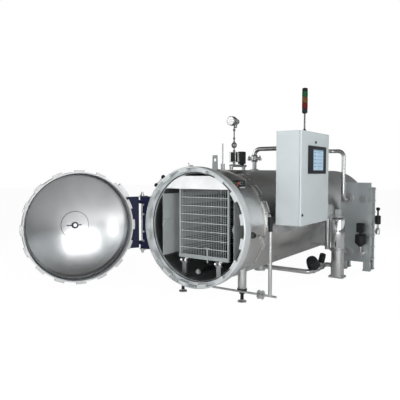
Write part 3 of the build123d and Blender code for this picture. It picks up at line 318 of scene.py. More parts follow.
def addBlock(bm, low, high, edge=0.002, rounds=2):
    low, high = Vector(low), Vector(high)
    place = Matrix.Translation((low + high) / 2) @ Matrix.Diagonal((*(high - low), 1))
    made = bmesh.ops.create_cube(bm, size=1.0, matrix=place)
    if edge:
        rims = list({e for v in made["verts"] for e in v.link_edges})
        bmesh.ops.bevel(bm, geom=rims, offset=edge, segments=rounds, affect="EDGES", profile=0.6)


def addTurned(bm, base, axis, outline, sides=48, caps=True):  # outline: (radius, distance along the axis)
    turn = facing(base, axis)
    rings = []
    for radius, far in outline:
        if radius < 1e-6:
            rings.append([bm.verts.new(turn @ Vector((0, 0, far)))])
            continue
        rings.append([bm.verts.new(turn @ Vector((radius * math.cos(a), radius * math.sin(a), far)))
                      for a in (2 * math.pi * k / sides for k in range(sides))])
    for near, far in zip(rings, rings[1:]):
        for k in range(sides):
            n = (k + 1) % sides
            corners = [near[k % len(near)], near[n % len(near)], far[n % len(far)], far[k % len(far)]]
            corners = list(dict.fromkeys(corners))
            if len(corners) > 2:
                bm.faces.new(corners)
    for ring in (rings[0], rings[-1]) if caps else ():
        if len(ring) > 2:
            bm.faces.new(ring)


def addBolt(bm, base, axis, size=0.009, length=0.008, washer=True):  # a hexagon head on its washer
    axis = Vector(axis).normalized()
    base = Vector(base)
    if washer:
        addTube(bm, base, base + axis * length * 0.25, size * 1.5, sides=16)
    addTube(bm, base + axis * length * 0.2, base + axis * length, size, size * 0.94, sides=6)


def addTorus(bm, centre, axis, big, small, sides=40, tubeSides=12):
    turn = facing(centre, axis)
    grid = []
    for k in range(sides):
        a = 2 * math.pi * k / sides
        grid.append([])
        for j in range(tubeSides):
            b = 2 * math.pi * j / tubeSides
            reach = big + small * math.cos(b)
            grid[k].append(bm.verts.new(
                turn @ Vector((reach * math.cos(a), reach * math.sin(a), small * math.sin(b)))))
    for k in range(sides):
        after = (k + 1) % sides
        for j in range(tubeSides):
            beside = (j + 1) % tubeSides
            bm.faces.new([grid[k][j], grid[after][j], grid[after][beside], grid[k][beside]])


def keep(bm, name, finish, body, standsFor=(), angle=35):
    bmesh.ops.recalc_face_normals(bm, faces=bm.faces)
    mesh = bpy.data.meshes.new(name)
    for f in bm.faces:
        f.smooth = True
    for e in bm.edges:
        if len(e.link_faces) == 2 and e.calc_face_angle(0) > math.radians(angle):
            e.smooth = False
    bm.to_mesh(mesh)
    bm.free()
    piece = bpy.data.objects.new(name, mesh)
    bpy.context.collection.objects.link(piece)
    mesh.materials.append(finishes[finish])
    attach(piece, body)
    if standsFor:
        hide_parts(*standsFor)


# Geometry Nodes: copies of one small form round an axis or along a line
def patternTree(name, sizes):
    tree = bpy.data.node_groups.new(name, "GeometryNodeTree")
    tree.interface.new_socket("Form", in_out="INPUT", socket_type="NodeSocketGeometry")
    for label, kind in sizes + [("Finish", "NodeSocketMaterial")]:
        tree.interface.new_socket(label, in_out="INPUT", socket_type=kind)
    tree.interface.new_socket("Pattern", in_out="OUTPUT", socket_type="NodeSocketGeometry")
    return tree, tree.nodes.new("NodeGroupInput"), tree.nodes.new("NodeGroupOutput")


def closeTree(tree, given, result, copies):
    solid = node(tree, "GeometryNodeRealizeInstances", {"Geometry": copies})
    painted = node(tree, "GeometryNodeSetMaterial", {"Geometry": solid.outputs[0],
        "Material": given.outputs["Finish"]})
    tree.links.new(painted.outputs[0], result.inputs["Pattern"])
    return tree


def roundTree():
    tree, given, result = patternTree("copiesRound", [("Count", "NodeSocketInt"),
        ("Radius", "NodeSocketFloat"), ("Start", "NodeSocketFloat")])
    circle = node(tree, "GeometryNodeMeshCircle", {"Vertices": given.outputs["Count"],
        "Radius": given.outputs["Radius"]})
    share = node(tree, "ShaderNodeMath", {0: 2 * math.pi, 1: given.outputs["Count"]}, operation="DIVIDE")
    turned = node(tree, "ShaderNodeMath", {0: tree.nodes.new("GeometryNodeInputIndex").outputs[0],
        1: share.outputs[0]}, operation="MULTIPLY")
    spin = node(tree, "ShaderNodeCombineXYZ", {"Z": turned.outputs[0]})
    copies = node(tree, "GeometryNodeInstanceOnPoints", {"Points": circle.outputs[0],
        "Instance": given.outputs["Form"], "Rotation": spin.outputs[0]})
    first = node(tree, "ShaderNodeCombineXYZ", {"Z": given.outputs["Start"]})
    placed = node(tree, "GeometryNodeTransform", {"Geometry": copies.outputs[0],
        "Rotation": first.outputs[0]})
    return closeTree(tree, given, result, placed.outputs[0])


def lineTree():
    tree, given, result = patternTree("copiesInLine", [("Count", "NodeSocketInt"),
        ("Step", "NodeSocketVector")])
    line = node(tree, "GeometryNodeMeshLine", {"Count": given.outputs["Count"],
        "Offset": given.outputs["Step"]})
    copies = node(tree, "GeometryNodeInstanceOnPoints", {"Points": line.outputs[0],
        "Instance": given.outputs["Form"]})
    return closeTree(tree, given, result, copies.outputs[0])


copiesRound, copiesInLine = roundTree(), lineTree()


def addCopies(bm, form, tree, sizes, finish, place=Matrix()):
    mesh = bpy.data.meshes.new("form")
    form.to_mesh(mesh)
    form.free()
    holder = bpy.data.objects.new("form", mesh)
    bpy.context.collection.objects.link(holder)
    pattern = holder.modifiers.new("pattern", "NODES")
    pattern.node_group = tree
    for item in tree.interface.items_tree:
        if item.in_out == "INPUT" and item.name in sizes:
            pattern[item.identifier] = sizes[item.name]
        if item.in_out == "INPUT" and item.name == "Finish":
            pattern[item.identifier] = finishes[finish]
    made = bpy.data.meshes.new_from_object(holder.evaluated_get(bpy.context.evaluated_depsgraph_get()))
    made.transform(place)
    bm.from_mesh(made)
    bpy.data.objects.remove(holder)


def boltRing(bm, base, axis, radius, count, size, length, start=0.0):
    form = bmesh.new()
    addBolt(form, (0, 0, 0), (0, 0, 1), size, length, washer=False)
    addCopies(bm, form, copiesRound, {"Count": count, "Radius": radius, "Start": math.radians(start)},
        "wireSteel", facing(base, axis))


# signal tower on the cabinet: foot, pole, three ribbed lamps, cap
tower = {"poleR": 0.010, "cap": 0.040, "base": 0.050, "lamp": 0.070, "joint": 0.004, "bandR": 0.0335,
         "ribs": 24, "ribR": 0.0014, "ribsAt": 0.0332}
low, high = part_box("signal_tower")
towerX, towerY = (low[0] + high[0]) / 2, (low[1] + high[1]) / 2
lampsAt = high[2] - tower["cap"] - 3 * tower["lamp"]
bm = bmesh.new()
foot = Vector((towerX, towerY, low[2]))
addTurned(bm, foot, (0, 0, 1), [(0.035, 0), (0.035, 0.006), (0.022, 0.010), (0.014, 0.030), (0.010, 0.034)])
addTurned(bm, (towerX, towerY, lampsAt - tower["base"]), (0, 0, 1),
          [(0.012, -0.012), (0.020, -0.010), (0.033, 0), (0.033, tower["base"] - 0.003),
          (0.030, tower["base"])])
for k in (1, 2):
    addTurned(bm, (towerX, towerY, lampsAt + k * tower["lamp"] - tower["joint"]), (0, 0, 1),
        [(tower["bandR"], 0), (tower["bandR"], tower["joint"])])
addTurned(bm, (towerX, towerY, high[2] - tower["cap"]), (0, 0, 1), [(tower["bandR"], 0),
    (tower["bandR"], 0.028), (0.029, 0.036), (0.016, tower["cap"]), (0, tower["cap"])])
keep(bm, "towerBlack", "blackPlastic", "vessel", ["signal_tower"])
bm = bmesh.new()
addTube(bm, foot + Vector((0, 0, 0.030)), (towerX, towerY, lampsAt - tower["base"]), tower["poleR"], sides=24)
keep(bm, "towerPole", "poleSteel", "vessel")
for k, (colour, finish) in enumerate((("Red", "redLens"), ("Amber", "amberLens"), ("Green", "greenLens"))):
    bm = bmesh.new()
    bottom = lampsAt + k * tower["lamp"]
    top = bottom + tower["lamp"] - tower["joint"]
    outline = [(0.0325, 0.0), (tower["bandR"], 0.003), (tower["bandR"], top - bottom - 0.003),
        (0.0325, top - bottom)]
    addTurned(bm, (towerX, towerY, bottom), (0, 0, 1), outline)
    rib = bmesh.new()
    addTube(rib, (0, 0, tower["joint"]), (0, 0, top - bottom - tower["joint"]), tower["ribR"], sides=6)
    addCopies(bm, rib, copiesRound, {"Count": tower["ribs"], "Radius": tower["ribsAt"], "Start": 0.0},
        finish, Matrix.Translation((towerX, towerY, bottom)))
    keep(bm, f"towerLamp{colour}", finish, "vessel")

# touch screen: a black frame and the lit pane with plain bars on it
low, high = (Vector(c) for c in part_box("touch_screen"))
screen = {"side": 0.112, "lower": 0.044, "upper": 0.046, "bars": 5, "firstBar": 0.030, "barStep": 0.044,
    "sunk": 0.001, "proud": 0.0006}
bm = bmesh.new()
addBlock(bm, low, high, edge=0.005, rounds=3)
keep(bm, "screenFrame", "darkPaint", "cabinet_door", ["touch_screen"])
paneLow = Vector((high.x - 0.004, low.y + screen["side"] * 1.3, low.z + screen["lower"]))
paneHigh = Vector((high.x + 0.0012, high.y - screen["side"], high.z - screen["upper"]))
bm = bmesh.new()
addBlock(bm, paneLow, paneHigh, edge=0.0006, rounds=1)
keep(bm, "screenPane", "screenGlass", "cabinet_door")
bm = bmesh.new()
barBack, barFront = paneHigh.x - screen["sunk"], paneHigh.x + screen["proud"]
for k in range(screen["bars"]):
    z = paneHigh.z - screen["firstBar"] - k * screen["barStep"]
    addBlock(bm, (barBack, paneLow.y + 0.020, z - 0.010), (barFront, paneLow.y + 0.075, z), edge=0)
    addBlock(bm, (barBack, paneLow.y + 0.100, z - 0.006), (barFront, paneHigh.y - 0.030, z - 0.002), edge=0)
addBlock(bm, (barBack, paneLow.y + 0.010, paneHigh.z - 0.014), (barFront, paneHigh.y - 0.010,
    paneHigh.z - 0.006), edge=0)
keep(bm, "screenBars", "screenInk", "cabinet_door")

# cabinet: quarter-turn locks on the door, a thin roof sheet, cable glands below
low, high = (Vector(c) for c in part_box("cabinet_door"))
cabLow, cabHigh = (Vector(c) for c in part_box("control_cabinet"))
cabinet = {"upperLock": (1.188, 1.949), "lowerLock": (0.035, 0.13), "roofDepth": 0.918,
           "glands": 4, "glandX": 0.08, "firstGland": 0.28, "glandPitch": 0.09}
upperLock = Vector((high.x, spot(0, cabinet["upperLock"][0], 0).y, cabinet["upperLock"][1]))
lowerLock = Vector((high.x, low.y + cabinet["lowerLock"][0], low.z + cabinet["lowerLock"][1]))
bm = bmesh.new()
for where in (upperLock, lowerLock):
    addTurned(bm, where, (1, 0, 0), [(0.014, 0), (0.014, 0.004), (0.011, 0.007), (0, 0.007)], sides=24)
    addBlock(bm, where + Vector((0.006, -0.004, -0.016)), where + Vector((0.016, 0.004, 0.016)), edge=0.002)
keep(bm, "cabinetLocks", "blackPlastic", "cabinet_door")
bm = bmesh.new()
addBlock(bm, (cabLow.x, cabLow.y, cabHigh.z - 0.0005), (cabHigh.x, cabLow.y + cabinet["roofDepth"],
    cabHigh.z + 0.0012), edge=0.0005, rounds=1)
keep(bm, "cabinetRoofSheet", "cabinetSteel", "vessel")
bm = bmesh.new()
for k in range(cabinet["glands"]):
    foot = Vector((cabLow.x + cabinet["glandX"],
        cabLow.y + cabinet["firstGland"] + cabinet["glandPitch"] * k, cabLow.z))
    addTurned(bm, foot, (0, 0, -1), [(0.019, 0), (0.019, 0.012), (0.015, 0.014), (0.015, 0.030),
        (0.011, 0.036), (0, 0.036)], sides=20)
keep(bm, "cabinetGlands", "blackPlastic", "vessel")
print("stage: cabinet, screen and tower")

# instruments on the vessel's crest
crest = neckHigh[2]
instr = {"headZ": 2.258, "faceR": 0.052, "y": 0.981, "ringZ": 1.940, "neckLow": 1.682, "neckR": 0.0085,
         "box": ((-0.036, 0.945, 1.716), (0.036, 1.017, 1.844)),
         "actuator": ((-0.044, 1.146, 1.690), (0.044, 1.234, 1.862)), "stem": (0, 1.190, 1.690)}
where = spot(0, instr["y"], instr["headZ"])
bm = bmesh.new()
addTurned(bm, where + Vector((0, -0.096, 0)), (0, 1, 0),
          [(0.058, 0), (0.0615, 0.004), (0.0615, 0.060), (0.055, 0.064), (0.055, 0.098), (0.050, 0.104),
          (0.034, 0.112), (0.034, 0.150), (0.0, 0.150)])
fin = bmesh.new()
addTorus(fin, (0, 0, 0), (0, 1, 0), 0.0612, 0.0014, sides=40, tubeSides=6)
addCopies(bm, fin, copiesInLine, {"Count": 5, "Step": (0, 0.012, 0)}, "frameSteel",
    Matrix.Translation(where + Vector((0, -0.080, 0))))
addTurned(bm, where + Vector((0, 0.030, 0)), (0, 0, -1), [(0.024, 0.020), (0.024, 0.075), (0.018, 0.085),
    (0, 0.085)], sides=24)
addTurned(bm, where + Vector((0, 0.050, 0)), (0, 1, 0), [(0.034, 0), (0.036, 0.002), (0.036, 0.030),
    (0.0, 0.034)], sides=32)
keep(bm, "transmitterHousing", "frameSteel", "vessel")
bm = bmesh.new()
addTurned(bm, where + Vector((0, -0.0962, 0)), (0, 1, 0), [(0, 0), (instr["faceR"], 0),
    (instr["faceR"], 0.003)], sides=40)
keep(bm, "transmitterFace", "whitePlastic", "vessel")
bm = bmesh.new()
top = where.z - 0.085
neck = Vector((where.x, where.y, 0))
addTube(bm, (neck.x, neck.y, instr["neckLow"]), (neck.x, neck.y, top + 0.02), instr["neckR"], sides=20)
# height, radius and length of each nut on the neck
neckNuts = ((top - 0.03, 0.016, 0.030), (2.030, 0.015, 0.024), (1.985, 0.013, 0.016),
            (1.862, 0.016, 0.024), (1.700, 0.018, 0.026))
for z, r, h in neckNuts:
    addTube(bm, (neck.x, neck.y, z - h / 2), (neck.x, neck.y, z + h / 2), r, sides=6)
addTorus(bm, (neck.x, neck.y, instr["ringZ"]), (0, 1, 0), 0.030, 0.011, sides=48, tubeSides=14)
addTube(bm, (neck.x, neck.y, instr["ringZ"] - 0.024), (neck.x, neck.y, instr["ringZ"] + 0.024), 0.010,
    sides=16)
keep(bm, "transmitterNeck", "poleSteel", "vessel")
boxLow, boxHigh = (spot(*corner) for corner in instr["box"])
bm = bmesh.new()
addBlock(bm, boxLow, boxHigh, edge=0.008, rounds=3)
actLow, actHigh = (spot(*corner) for corner in instr["actuator"])
addBlock(bm, actLow, actHigh, edge=0.016, rounds=4)
addTurned(bm, spot(*instr["stem"]), (0, 0, -1), [(0.030, 0), (0.030, 0.010), (0.020, 0.014),
    (0.020, 0.030)], sides=28)
keep(bm, "instrumentBoxes", "blackPlastic", "vessel", ["top_instruments"])
bm = bmesh.new()
for z in (boxLow.z - 0.004, boxHigh.z - 0.002):
    addBlock(bm, (boxLow.x - 0.012, boxLow.y - 0.010, z), (boxHigh.x + 0.012, boxHigh.y + 0.010,
        z + 0.006), edge=0.001, rounds=1)
for x in (boxLow.x - 0.011, boxHigh.x + 0.005):
    for y in (boxLow.y - 0.009, boxHigh.y + 0.003):
        addBlock(bm, (x, y, boxLow.z), (x + 0.006, y + 0.006, boxHigh.z), edge=0.001, rounds=1)
keep(bm, "instrumentFrame", "wireSteel", "vessel")
print("stage: instruments")


# the neck's surface, which the seam loops, the sight port and the sample valve stand on
def onNeck(angle, y, out=0.0):  # a point on the neck cover and the way out of it
    turn = math.radians(angle)
    way = Vector((math.cos(turn), 0, math.sin(turn)))
    return Vector((axisX, y + mouthY, axisZ)) + way * (neckR + out), way


# seam loops: bent rods on the seam band, reaching back over the body's sheet
loop = {"angles": (59.0, 39.2, 20.1, 6.5), "y": (0.562, 0.680), "around": 11.0, "wire": 0.0055}
seamLow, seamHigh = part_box("seam_band")
seamR = (seamHigh[2] - seamLow[2]) / 2
bm = bmesh.new()
for angle in loop["angles"]:
    outline = []
    for side, far in ((-1, 0), (1, 0), (1, 1), (-1, 1)):
        outline.append(onNeck(angle + side * loop["around"] / 2, loop["y"][far],
            seamR - neckR + loop["wire"] * 0.9)[0])
    for start, end in zip(outline, outline[1:] + outline[:1]):
        addTube(bm, start, end, loop["wire"], sides=14)
    for corner in outline:
        bmesh.ops.create_uvsphere(bm, u_segments=14, v_segments=8, radius=loop["wire"],
            matrix=Matrix.Translation(corner))
keep(bm, "seamLoops", "seamSteel", "vessel")

# button box on the neck: two buttons in front, two switches on its side, a pale plate below
buttons = {"boxHeight": 0.078, "down": 0.036, "along": (0.028, 0.068), "switches": (0.030, 0.078)}
low, high = (Vector(c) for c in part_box("button_box"))
bm = bmesh.new()
addBlock(bm, (low.x, low.y, high.z - buttons["boxHeight"]), high, edge=0.005, rounds=3)
addBlock(bm, (low.x + 0.004, low.y - 0.0015, high.z - 0.074), (high.x - 0.004, low.y + 0.004,
    high.z - 0.004), edge=0.002)
addTurned(bm, (low.x + 0.046, low.y + 0.04, high.z - 0.076), (0, 0, -1), [(0.012, 0), (0.012, 0.014),
    (0.008, 0.018)], sides=20)
keep(bm, "buttonBox", "blackPlastic", "vessel", ["button_box"])
buttonZ = high.z - buttons["down"]
for along, (name, finish) in zip(buttons["along"], (("Start", "greenButton"), ("Stop", "redButton"))):
    bm = bmesh.new()
    addTurned(bm, (low.x + along, low.y - 0.001, buttonZ), (0, -1, 0), [(0.014, 0), (0.014, 0.008),
        (0.0125, 0.011), (0, 0.012)], sides=28)
    keep(bm, f"button{name}", finish, "vessel")
bm = bmesh.new()
for along in buttons["along"]:
    addTurned(bm, (low.x + along, low.y - 0.001, buttonZ), (0, -1, 0), [(0.018, 0), (0.018, 0.002),
        (0.0145, 0.003), (0.0145, 0), (0.018, 0)], sides=28, caps=False)
for along in buttons["switches"]:
    addTurned(bm, (high.x - 0.001, low.y + along, buttonZ), (1, 0, 0), [(0.0165, 0), (0.0165, 0.002),
        (0.013, 0.003), (0.013, 0), (0.0165, 0)], sides=28, caps=False)
keep(bm, "buttonRings", "mirrorTube", "vessel")
bm = bmesh.new()
for along in buttons["switches"]:
    addTurned(bm, (high.x - 0.001, low.y + along, buttonZ), (1, 0, 0), [(0.0125, 0), (0.0125, 0.006),
        (0.010, 0.008), (0, 0.008)], sides=28)
    addBlock(bm, (high.x + 0.004, low.y + along - 0.003, buttonZ - 0.011),
        (high.x + 0.011, low.y + along + 0.003, buttonZ + 0.011), edge=0.001)
keep(bm, "buttonSwitches", "blackPlastic", "vessel")
bm = bmesh.new()
addBlock(bm, (low.x + 0.002, low.y + 0.004, high.z - 0.100), (high.x + 0.006, high.y - 0.010,
    high.z - 0.080), edge=0.002)
keep(bm, "buttonPlate", "whitePlastic", "vessel")

# sight port and the small valve behind it
sight = {"angle": -5, "y": 0.228, "bolts": 6, "boltsAt": 0.0285}
sample = {"angle": -8, "y": 0.431, "half": 0.040, "spokes": 4, "spoke": 0.034}
bm = bmesh.new()
base, out = onNeck(sight["angle"], sight["y"])
addTurned(bm, base - out * 0.01, out, [(0.0375, 0), (0.0375, 0.030), (0.034, 0.034), (0.034, 0.044),
    (0.0, 0.046)], sides=48)
boltRing(bm, base + out * 0.033, out, sight["boltsAt"], sight["bolts"], 0.004, 0.006, 30)
keep(bm, "sightRing", "poleSteel", "vessel", ["sight_port"])
bm = bmesh.new()
addTurned(bm, base + out * 0.0452, out, [(0.022, 0), (0.022, 0.002), (0, 0.002)], sides=36)
keep(bm, "sightGlass", "blackPlastic", "vessel")
bm = bmesh.new()
base, out = onNeck(sample["angle"], sample["y"])
up = out.cross(Vector((0, 1, 0))).normalized()
addTube(bm, base - out * 0.004, base + out * 0.055, 0.014, sides=24)
across = Vector((0, sample["half"], 0))
addTube(bm, base + out * 0.030 - across, base + out * 0.030 + across, 0.013, sides=24)
addTube(bm, base + out * 0.050, base + out * 0.072, 0.009, sides=16)
for k in range(sample["spokes"]):
    turn = math.radians(45 + 90 * k)
    way = Vector((0, 1, 0)) * math.cos(turn) + up * math.sin(turn)
    addTube(bm, base + out * 0.070, base + out * 0.070 + way * sample["spoke"], 0.0055, 0.008, sides=12)
keep(bm, "sampleValve", "wireSteel", "vessel")

# load rack: the deep bottom rail across its front and the T-shaped stop before it
rackLow = Vector(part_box("rack_front_grille")[0])
postLow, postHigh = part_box("rack_posts")
sill = {"height": 0.050, "depth": 0.008}
stop = {"x": 0.071, "topHalf": 0.041, "stemHalf": 0.008, "low": 0.464, "high": 0.654, "bar": 0.016,
    "thick": 0.007}
front = rackLow.y - sill["depth"]
bm = bmesh.new()
addBlock(bm, (postLow[0], front, rackLow.z), (postHigh[0], rackLow.y, rackLow.z + sill["height"]), edge=0.003)
stopX = axisX + stop["x"]
addBlock(bm, (stopX - stop["topHalf"], front - stop["thick"], stop["high"] - stop["bar"]),
    (stopX + stop["topHalf"], front, stop["high"]))
addBlock(bm, (stopX - stop["stemHalf"], front - stop["thick"], stop["low"]), (stopX + stop["stemHalf"],
    front, stop["high"] - 0.5 * stop["bar"]))
keep(bm, "rackSillAndStop", "rackSteel", "vessel")

# locking ring: its hand bar and the small catch at the top
knob = {"angles": (127.0, 138.5), "y": 0.031, "gripAt": 0.028, "barR": 0.008}
catch = {"angle": 94, "y": 0.030, "hookAt": 0.012}
bm = bmesh.new()
ends = []
for angle in knob["angles"]:
    turn = math.radians(angle)
    out = Vector((math.cos(turn), 0, math.sin(turn)))
    base = Vector((axisX, mouthY + knob["y"], axisZ)) + out * ringR
    addTurned(bm, base - out * 0.001, out, [(0.017, 0), (0.013, 0.004), (0.013, 0.010), (0.022, 0.013),
        (0.025, 0.018), (0.025, 0.038), (0.019, 0.045), (0, 0.045)], sides=36)
    ends.append(base + out * knob["gripAt"])
keep(bm, "handKnobs", "blackPlastic", "ring", ["ring_hand_bar"])
bm = bmesh.new()
addTube(bm, ends[0], ends[1], knob["barR"], sides=20)
turn = math.radians(catch["angle"])
out = Vector((math.cos(turn), 0, math.sin(turn)))
base = Vector((axisX, mouthY + catch["y"], axisZ)) + out * ringR
addTube(bm, base - out * 0.002, base + out * 0.016, 0.011, sides=20)
hook = base + out * catch["hookAt"]
addTube(bm, hook, hook + Vector((-0.012, 0, 0.034)), 0.005, sides=14)
addTube(bm, hook + Vector((0.004, 0, 0)), hook + Vector((0.055, 0, -0.002)), 0.006, sides=14)
keep(bm, "ringCatch", "wireSteel", "ring")

# hinge: cap screws on the navy bracket
screw = {"near": 0.10, "far": 0.22, "in": 0.075, "size": 0.010, "head": 0.012}
low, high = (Vector(c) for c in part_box("hinge_bracket"))
bm = bmesh.new()
for z in (low.z + screw["near"], low.z + screw["far"], high.z - screw["far"], high.z - screw["near"]):
    addBolt(bm, (low.x + screw["in"], low.y, z), (0, -1, 0), screw["size"], screw["head"])
keep(bm, "hingeBolts", "wireSteel", "vessel")
print("stage: neck fittings, ring and hinge")

# riser: its foot clamp, the clamped valve and two wing wheels
riser = {"y": 1.560, "valveZ": 1.775, "wheelAt": 0.088, "arm": 0.042}
riserX, riserY, valveZ = axisX, mouthY + riser["y"], riser["valveZ"]
bm = bmesh.new()
addTurned(bm, (riserX, riserY, crest - 0.004), (0, 0, 1),
          [(0.040, 0), (0.062, 0.004), (0.062, 0.018), (0.056, 0.021), (0.034, 0.024), (0.0315, 0.034)],
          sides=48)
addTurned(bm, (riserX, riserY, valveZ), (0, 0, 1),
          [(0.031, -0.052), (0.044, -0.050), (0.047, -0.044), (0.040, -0.036), (0.050, -0.026), (0.052, 0),
           (0.050, 0.026), (0.040, 0.036), (0.047, 0.044), (0.044, 0.050), (0.031, 0.052)], sides=48)
for side in (-1, 1):
    addTube(bm, (riserX + side * 0.045, riserY, valveZ), (riserX + side * 0.080, riserY, valveZ), 0.020,
        sides=28)
    addTube(bm, (riserX + side * 0.078, riserY, valveZ), (riserX + side * 0.096, riserY, valveZ), 0.030,
        sides=8)
    for k in range(3):
        turn = math.radians(120 * k + 90)
        way = Vector((0, math.cos(turn), math.sin(turn)))
        hub = Vector((riserX + side * riser["wheelAt"], riserY, valveZ))
        addTube(bm, hub, hub + way * riser["arm"], 0.008, 0.011, sides=12)
keep(bm, "riserValve", "wireSteel", "vessel", ["riser_valve"])

# brass safety valve with its black outlet
low, high = (Vector(c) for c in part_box("safety_valve"))
safety = {"bodyR": 0.024, "outlet": 0.060}
safeX, safeY = (low.x + high.x) / 2, high.y - safety["bodyR"]
bottom, outletZ = low.z, low.z + safety["outlet"]
bm = bmesh.new()
addTurned(bm, (safeX, safeY, bottom), (0, 0, 1),
          [(0.020, 0), (0.022, 0.012), (0.018, 0.020), (0.018, 0.040), (0.025, 0.046), (0.025, 0.074),
           (0.019, 0.080), (0.019, 0.110), (0.014, 0.116), (0.014, 0.172), (0.009, 0.178),
           (0.009, high.z - bottom)], sides=32)
addTube(bm, (safeX, safeY, outletZ), (safeX, safeY - 0.052, outletZ), 0.017, sides=24)
keep(bm, "safetyValve", "brassBody", "vessel", ["safety_valve"])
bm = bmesh.new()
addTurned(bm, (safeX, safeY - 0.048, outletZ), (0, -1, 0), [(0.017, 0), (0.026, 0.003), (0.026, 0.022),
    (0.020, 0.028), (0, 0.028)], sides=28)
keep(bm, "safetyCap", "blackPlastic", "vessel")

# plate heat exchanger: port rings, flange bolts, blank cover
low, high = (Vector(c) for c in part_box("exchanger_plates"))
face = low.y
exchanger = {"offset": 0.123, "upper": 1.146, "lower": 0.285, "flange": 0.018, "steamZ": 0.600}
# side, row, outer and inner radius of each port ring
ports = ((-1, "upper", 0.096, 0.050), (1, "upper", 0.058, 0.0), (-1, "lower", 0.096, 0.050),
    (1, "lower", 0.058, 0.040))
middle = (low.x + high.x) / 2
bm = bmesh.new()
for side, row, outer, inner in ports:
    hub = Vector((middle + side * exchanger["offset"], face, exchanger[row]))
    ringIn = max(inner, 0.006)
    addTurned(bm, hub, (0, -1, 0), [(ringIn, 0), (outer, 0), (outer, 0.014),
        (outer - 0.004, exchanger["flange"]), (outer * 0.72, exchanger["flange"]),
        (outer * 0.70, 0.024), (ringIn + 0.004, 0.024), (ringIn, 0.020), (ringIn, 0)], sides=56, caps=False)
    count = 8 if outer > 0.08 else 4
    boltRing(bm, hub + Vector((0, -0.0175, 0)), (0, -1, 0), outer * 0.85, count, 0.007, 0.010, 180 / count)
    if inner == 0.0:
        addTurned(bm, hub, (0, -1, 0), [(0.0, 0.021), (0.040, 0.021), (0.040, 0.016)], sides=40)
keep(bm, "exchangerPorts", "wireSteel", "vessel", ["exchanger_ports"])

# the pack: pressed plates side by side over dark gaskets
packLow, packHigh = (Vector(c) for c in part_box("exchanger_pack"))
pack = {"pitch": 0.009, "plate": 0.0045, "inset": 0.006}
plateCount = int((packHigh.y - packLow.y) / pack["pitch"])
form = bmesh.new()
addBlock(form, (packLow.x, packLow.y, packLow.z), (packHigh.x, packLow.y + pack["plate"], packHigh.z),
    edge=0.0012, rounds=1)
bm = bmesh.new()
addCopies(bm, form, copiesInLine,
    {"Count": plateCount, "Step": (0, (packHigh.y - packLow.y - pack["plate"]) / (plateCount - 1), 0)},
    "wireSteel")
keep(bm, "exchangerPack", "wireSteel", "vessel", ["exchanger_pack"])
bm = bmesh.new()
inset = Vector((pack["inset"], 0.001, pack["inset"]))
addBlock(bm, packLow + inset, packHigh - inset, edge=0.002)
keep(bm, "exchangerGaskets", "gasketRubber", "vessel")

# black valves on the exchanger
bm = bmesh.new()
valveX, valveY, lowerZ = middle + exchanger["offset"], face - exchanger["flange"] - 0.095, exchanger["lower"]
addTurned(bm, (valveX, face - exchanger["flange"], lowerZ), (0, -1, 0), [(0.034, 0), (0.046, 0.002),
    (0.046, 0.012), (0.034, 0.016), (0.034, 0.120), (0.042, 0.124), (0.042, 0.135), (0, 0.135)], sides=36)
addTurned(bm, (valveX, valveY, lowerZ), (0, 0, 1), [(0.030, 0), (0.030, 0.040), (0.022, 0.046),
    (0.022, 0.120)], sides=32)
keep(bm, "controlValveBody", "wireSteel", "vessel", ["exchanger_valves"])
bm = bmesh.new()
addTurned(bm, (valveX, valveY, lowerZ + 0.120), (0, 0, 1),
          [(0.022, 0), (0.030, 0.004), (0.078, 0.052), (0.084, 0.060), (0.084, 0.182), (0.076, 0.190),
          (0.024, 0.192), (0.022, 0.196), (0.022, 0.225)], sides=48)
boxZ = lowerZ + 0.345
addBlock(bm, (valveX - 0.058, valveY - 0.045, boxZ), (valveX + 0.058, valveY + 0.045, boxZ + 0.145),
    edge=0.012, rounds=3)
keep(bm, "controlValveHead", "blackPlastic", "vessel")
rear = high.y
sideX, sideY, steamZ = high.x + 0.020, rear + 0.110, exchanger["steamZ"]
bm = bmesh.new()
addTube(bm, (valveX, rear, steamZ), (valveX, sideY, steamZ), 0.022, sides=28)
addTurned(bm, (valveX, rear, steamZ), (0, 1, 0), [(0.022, 0), (0.040, 0), (0.040, 0.012), (0.022, 0.016)],
    sides=32)
bmesh.ops.create_uvsphere(bm, u_segments=24, v_segments=14, radius=0.022,
    matrix=Matrix.Translation((valveX, sideY, steamZ)))
addTube(bm, (valveX, sideY, steamZ), (sideX, sideY, steamZ), 0.022, sides=28)
addTurned(bm, (sideX, sideY, steamZ - 0.045), (0, 0, 1), [(0.020, 0), (0.034, 0.006), (0.034, 0.088),
    (0.026, 0.100), (0.016, 0.105), (0.016, 0.165)], sides=36)
keep(bm, "steamValveBody", "wireSteel", "vessel")
bm = bmesh.new()
addTurned(bm, (sideX, sideY, steamZ + 0.120), (0, 0, 1),
          [(0.016, 0), (0.040, 0.006), (0.046, 0.014), (0.046, 0.136), (0.040, 0.146), (0.014, 0.150),
           (0.014, 0.228), (0.026, 0.234), (0.030, 0.242), (0.030, 0.270), (0.022, 0.280), (0, 0.280)],
          sides=40)
keep(bm, "steamValveHead", "blackPlastic", "vessel")
print("stage: riser and exchanger")

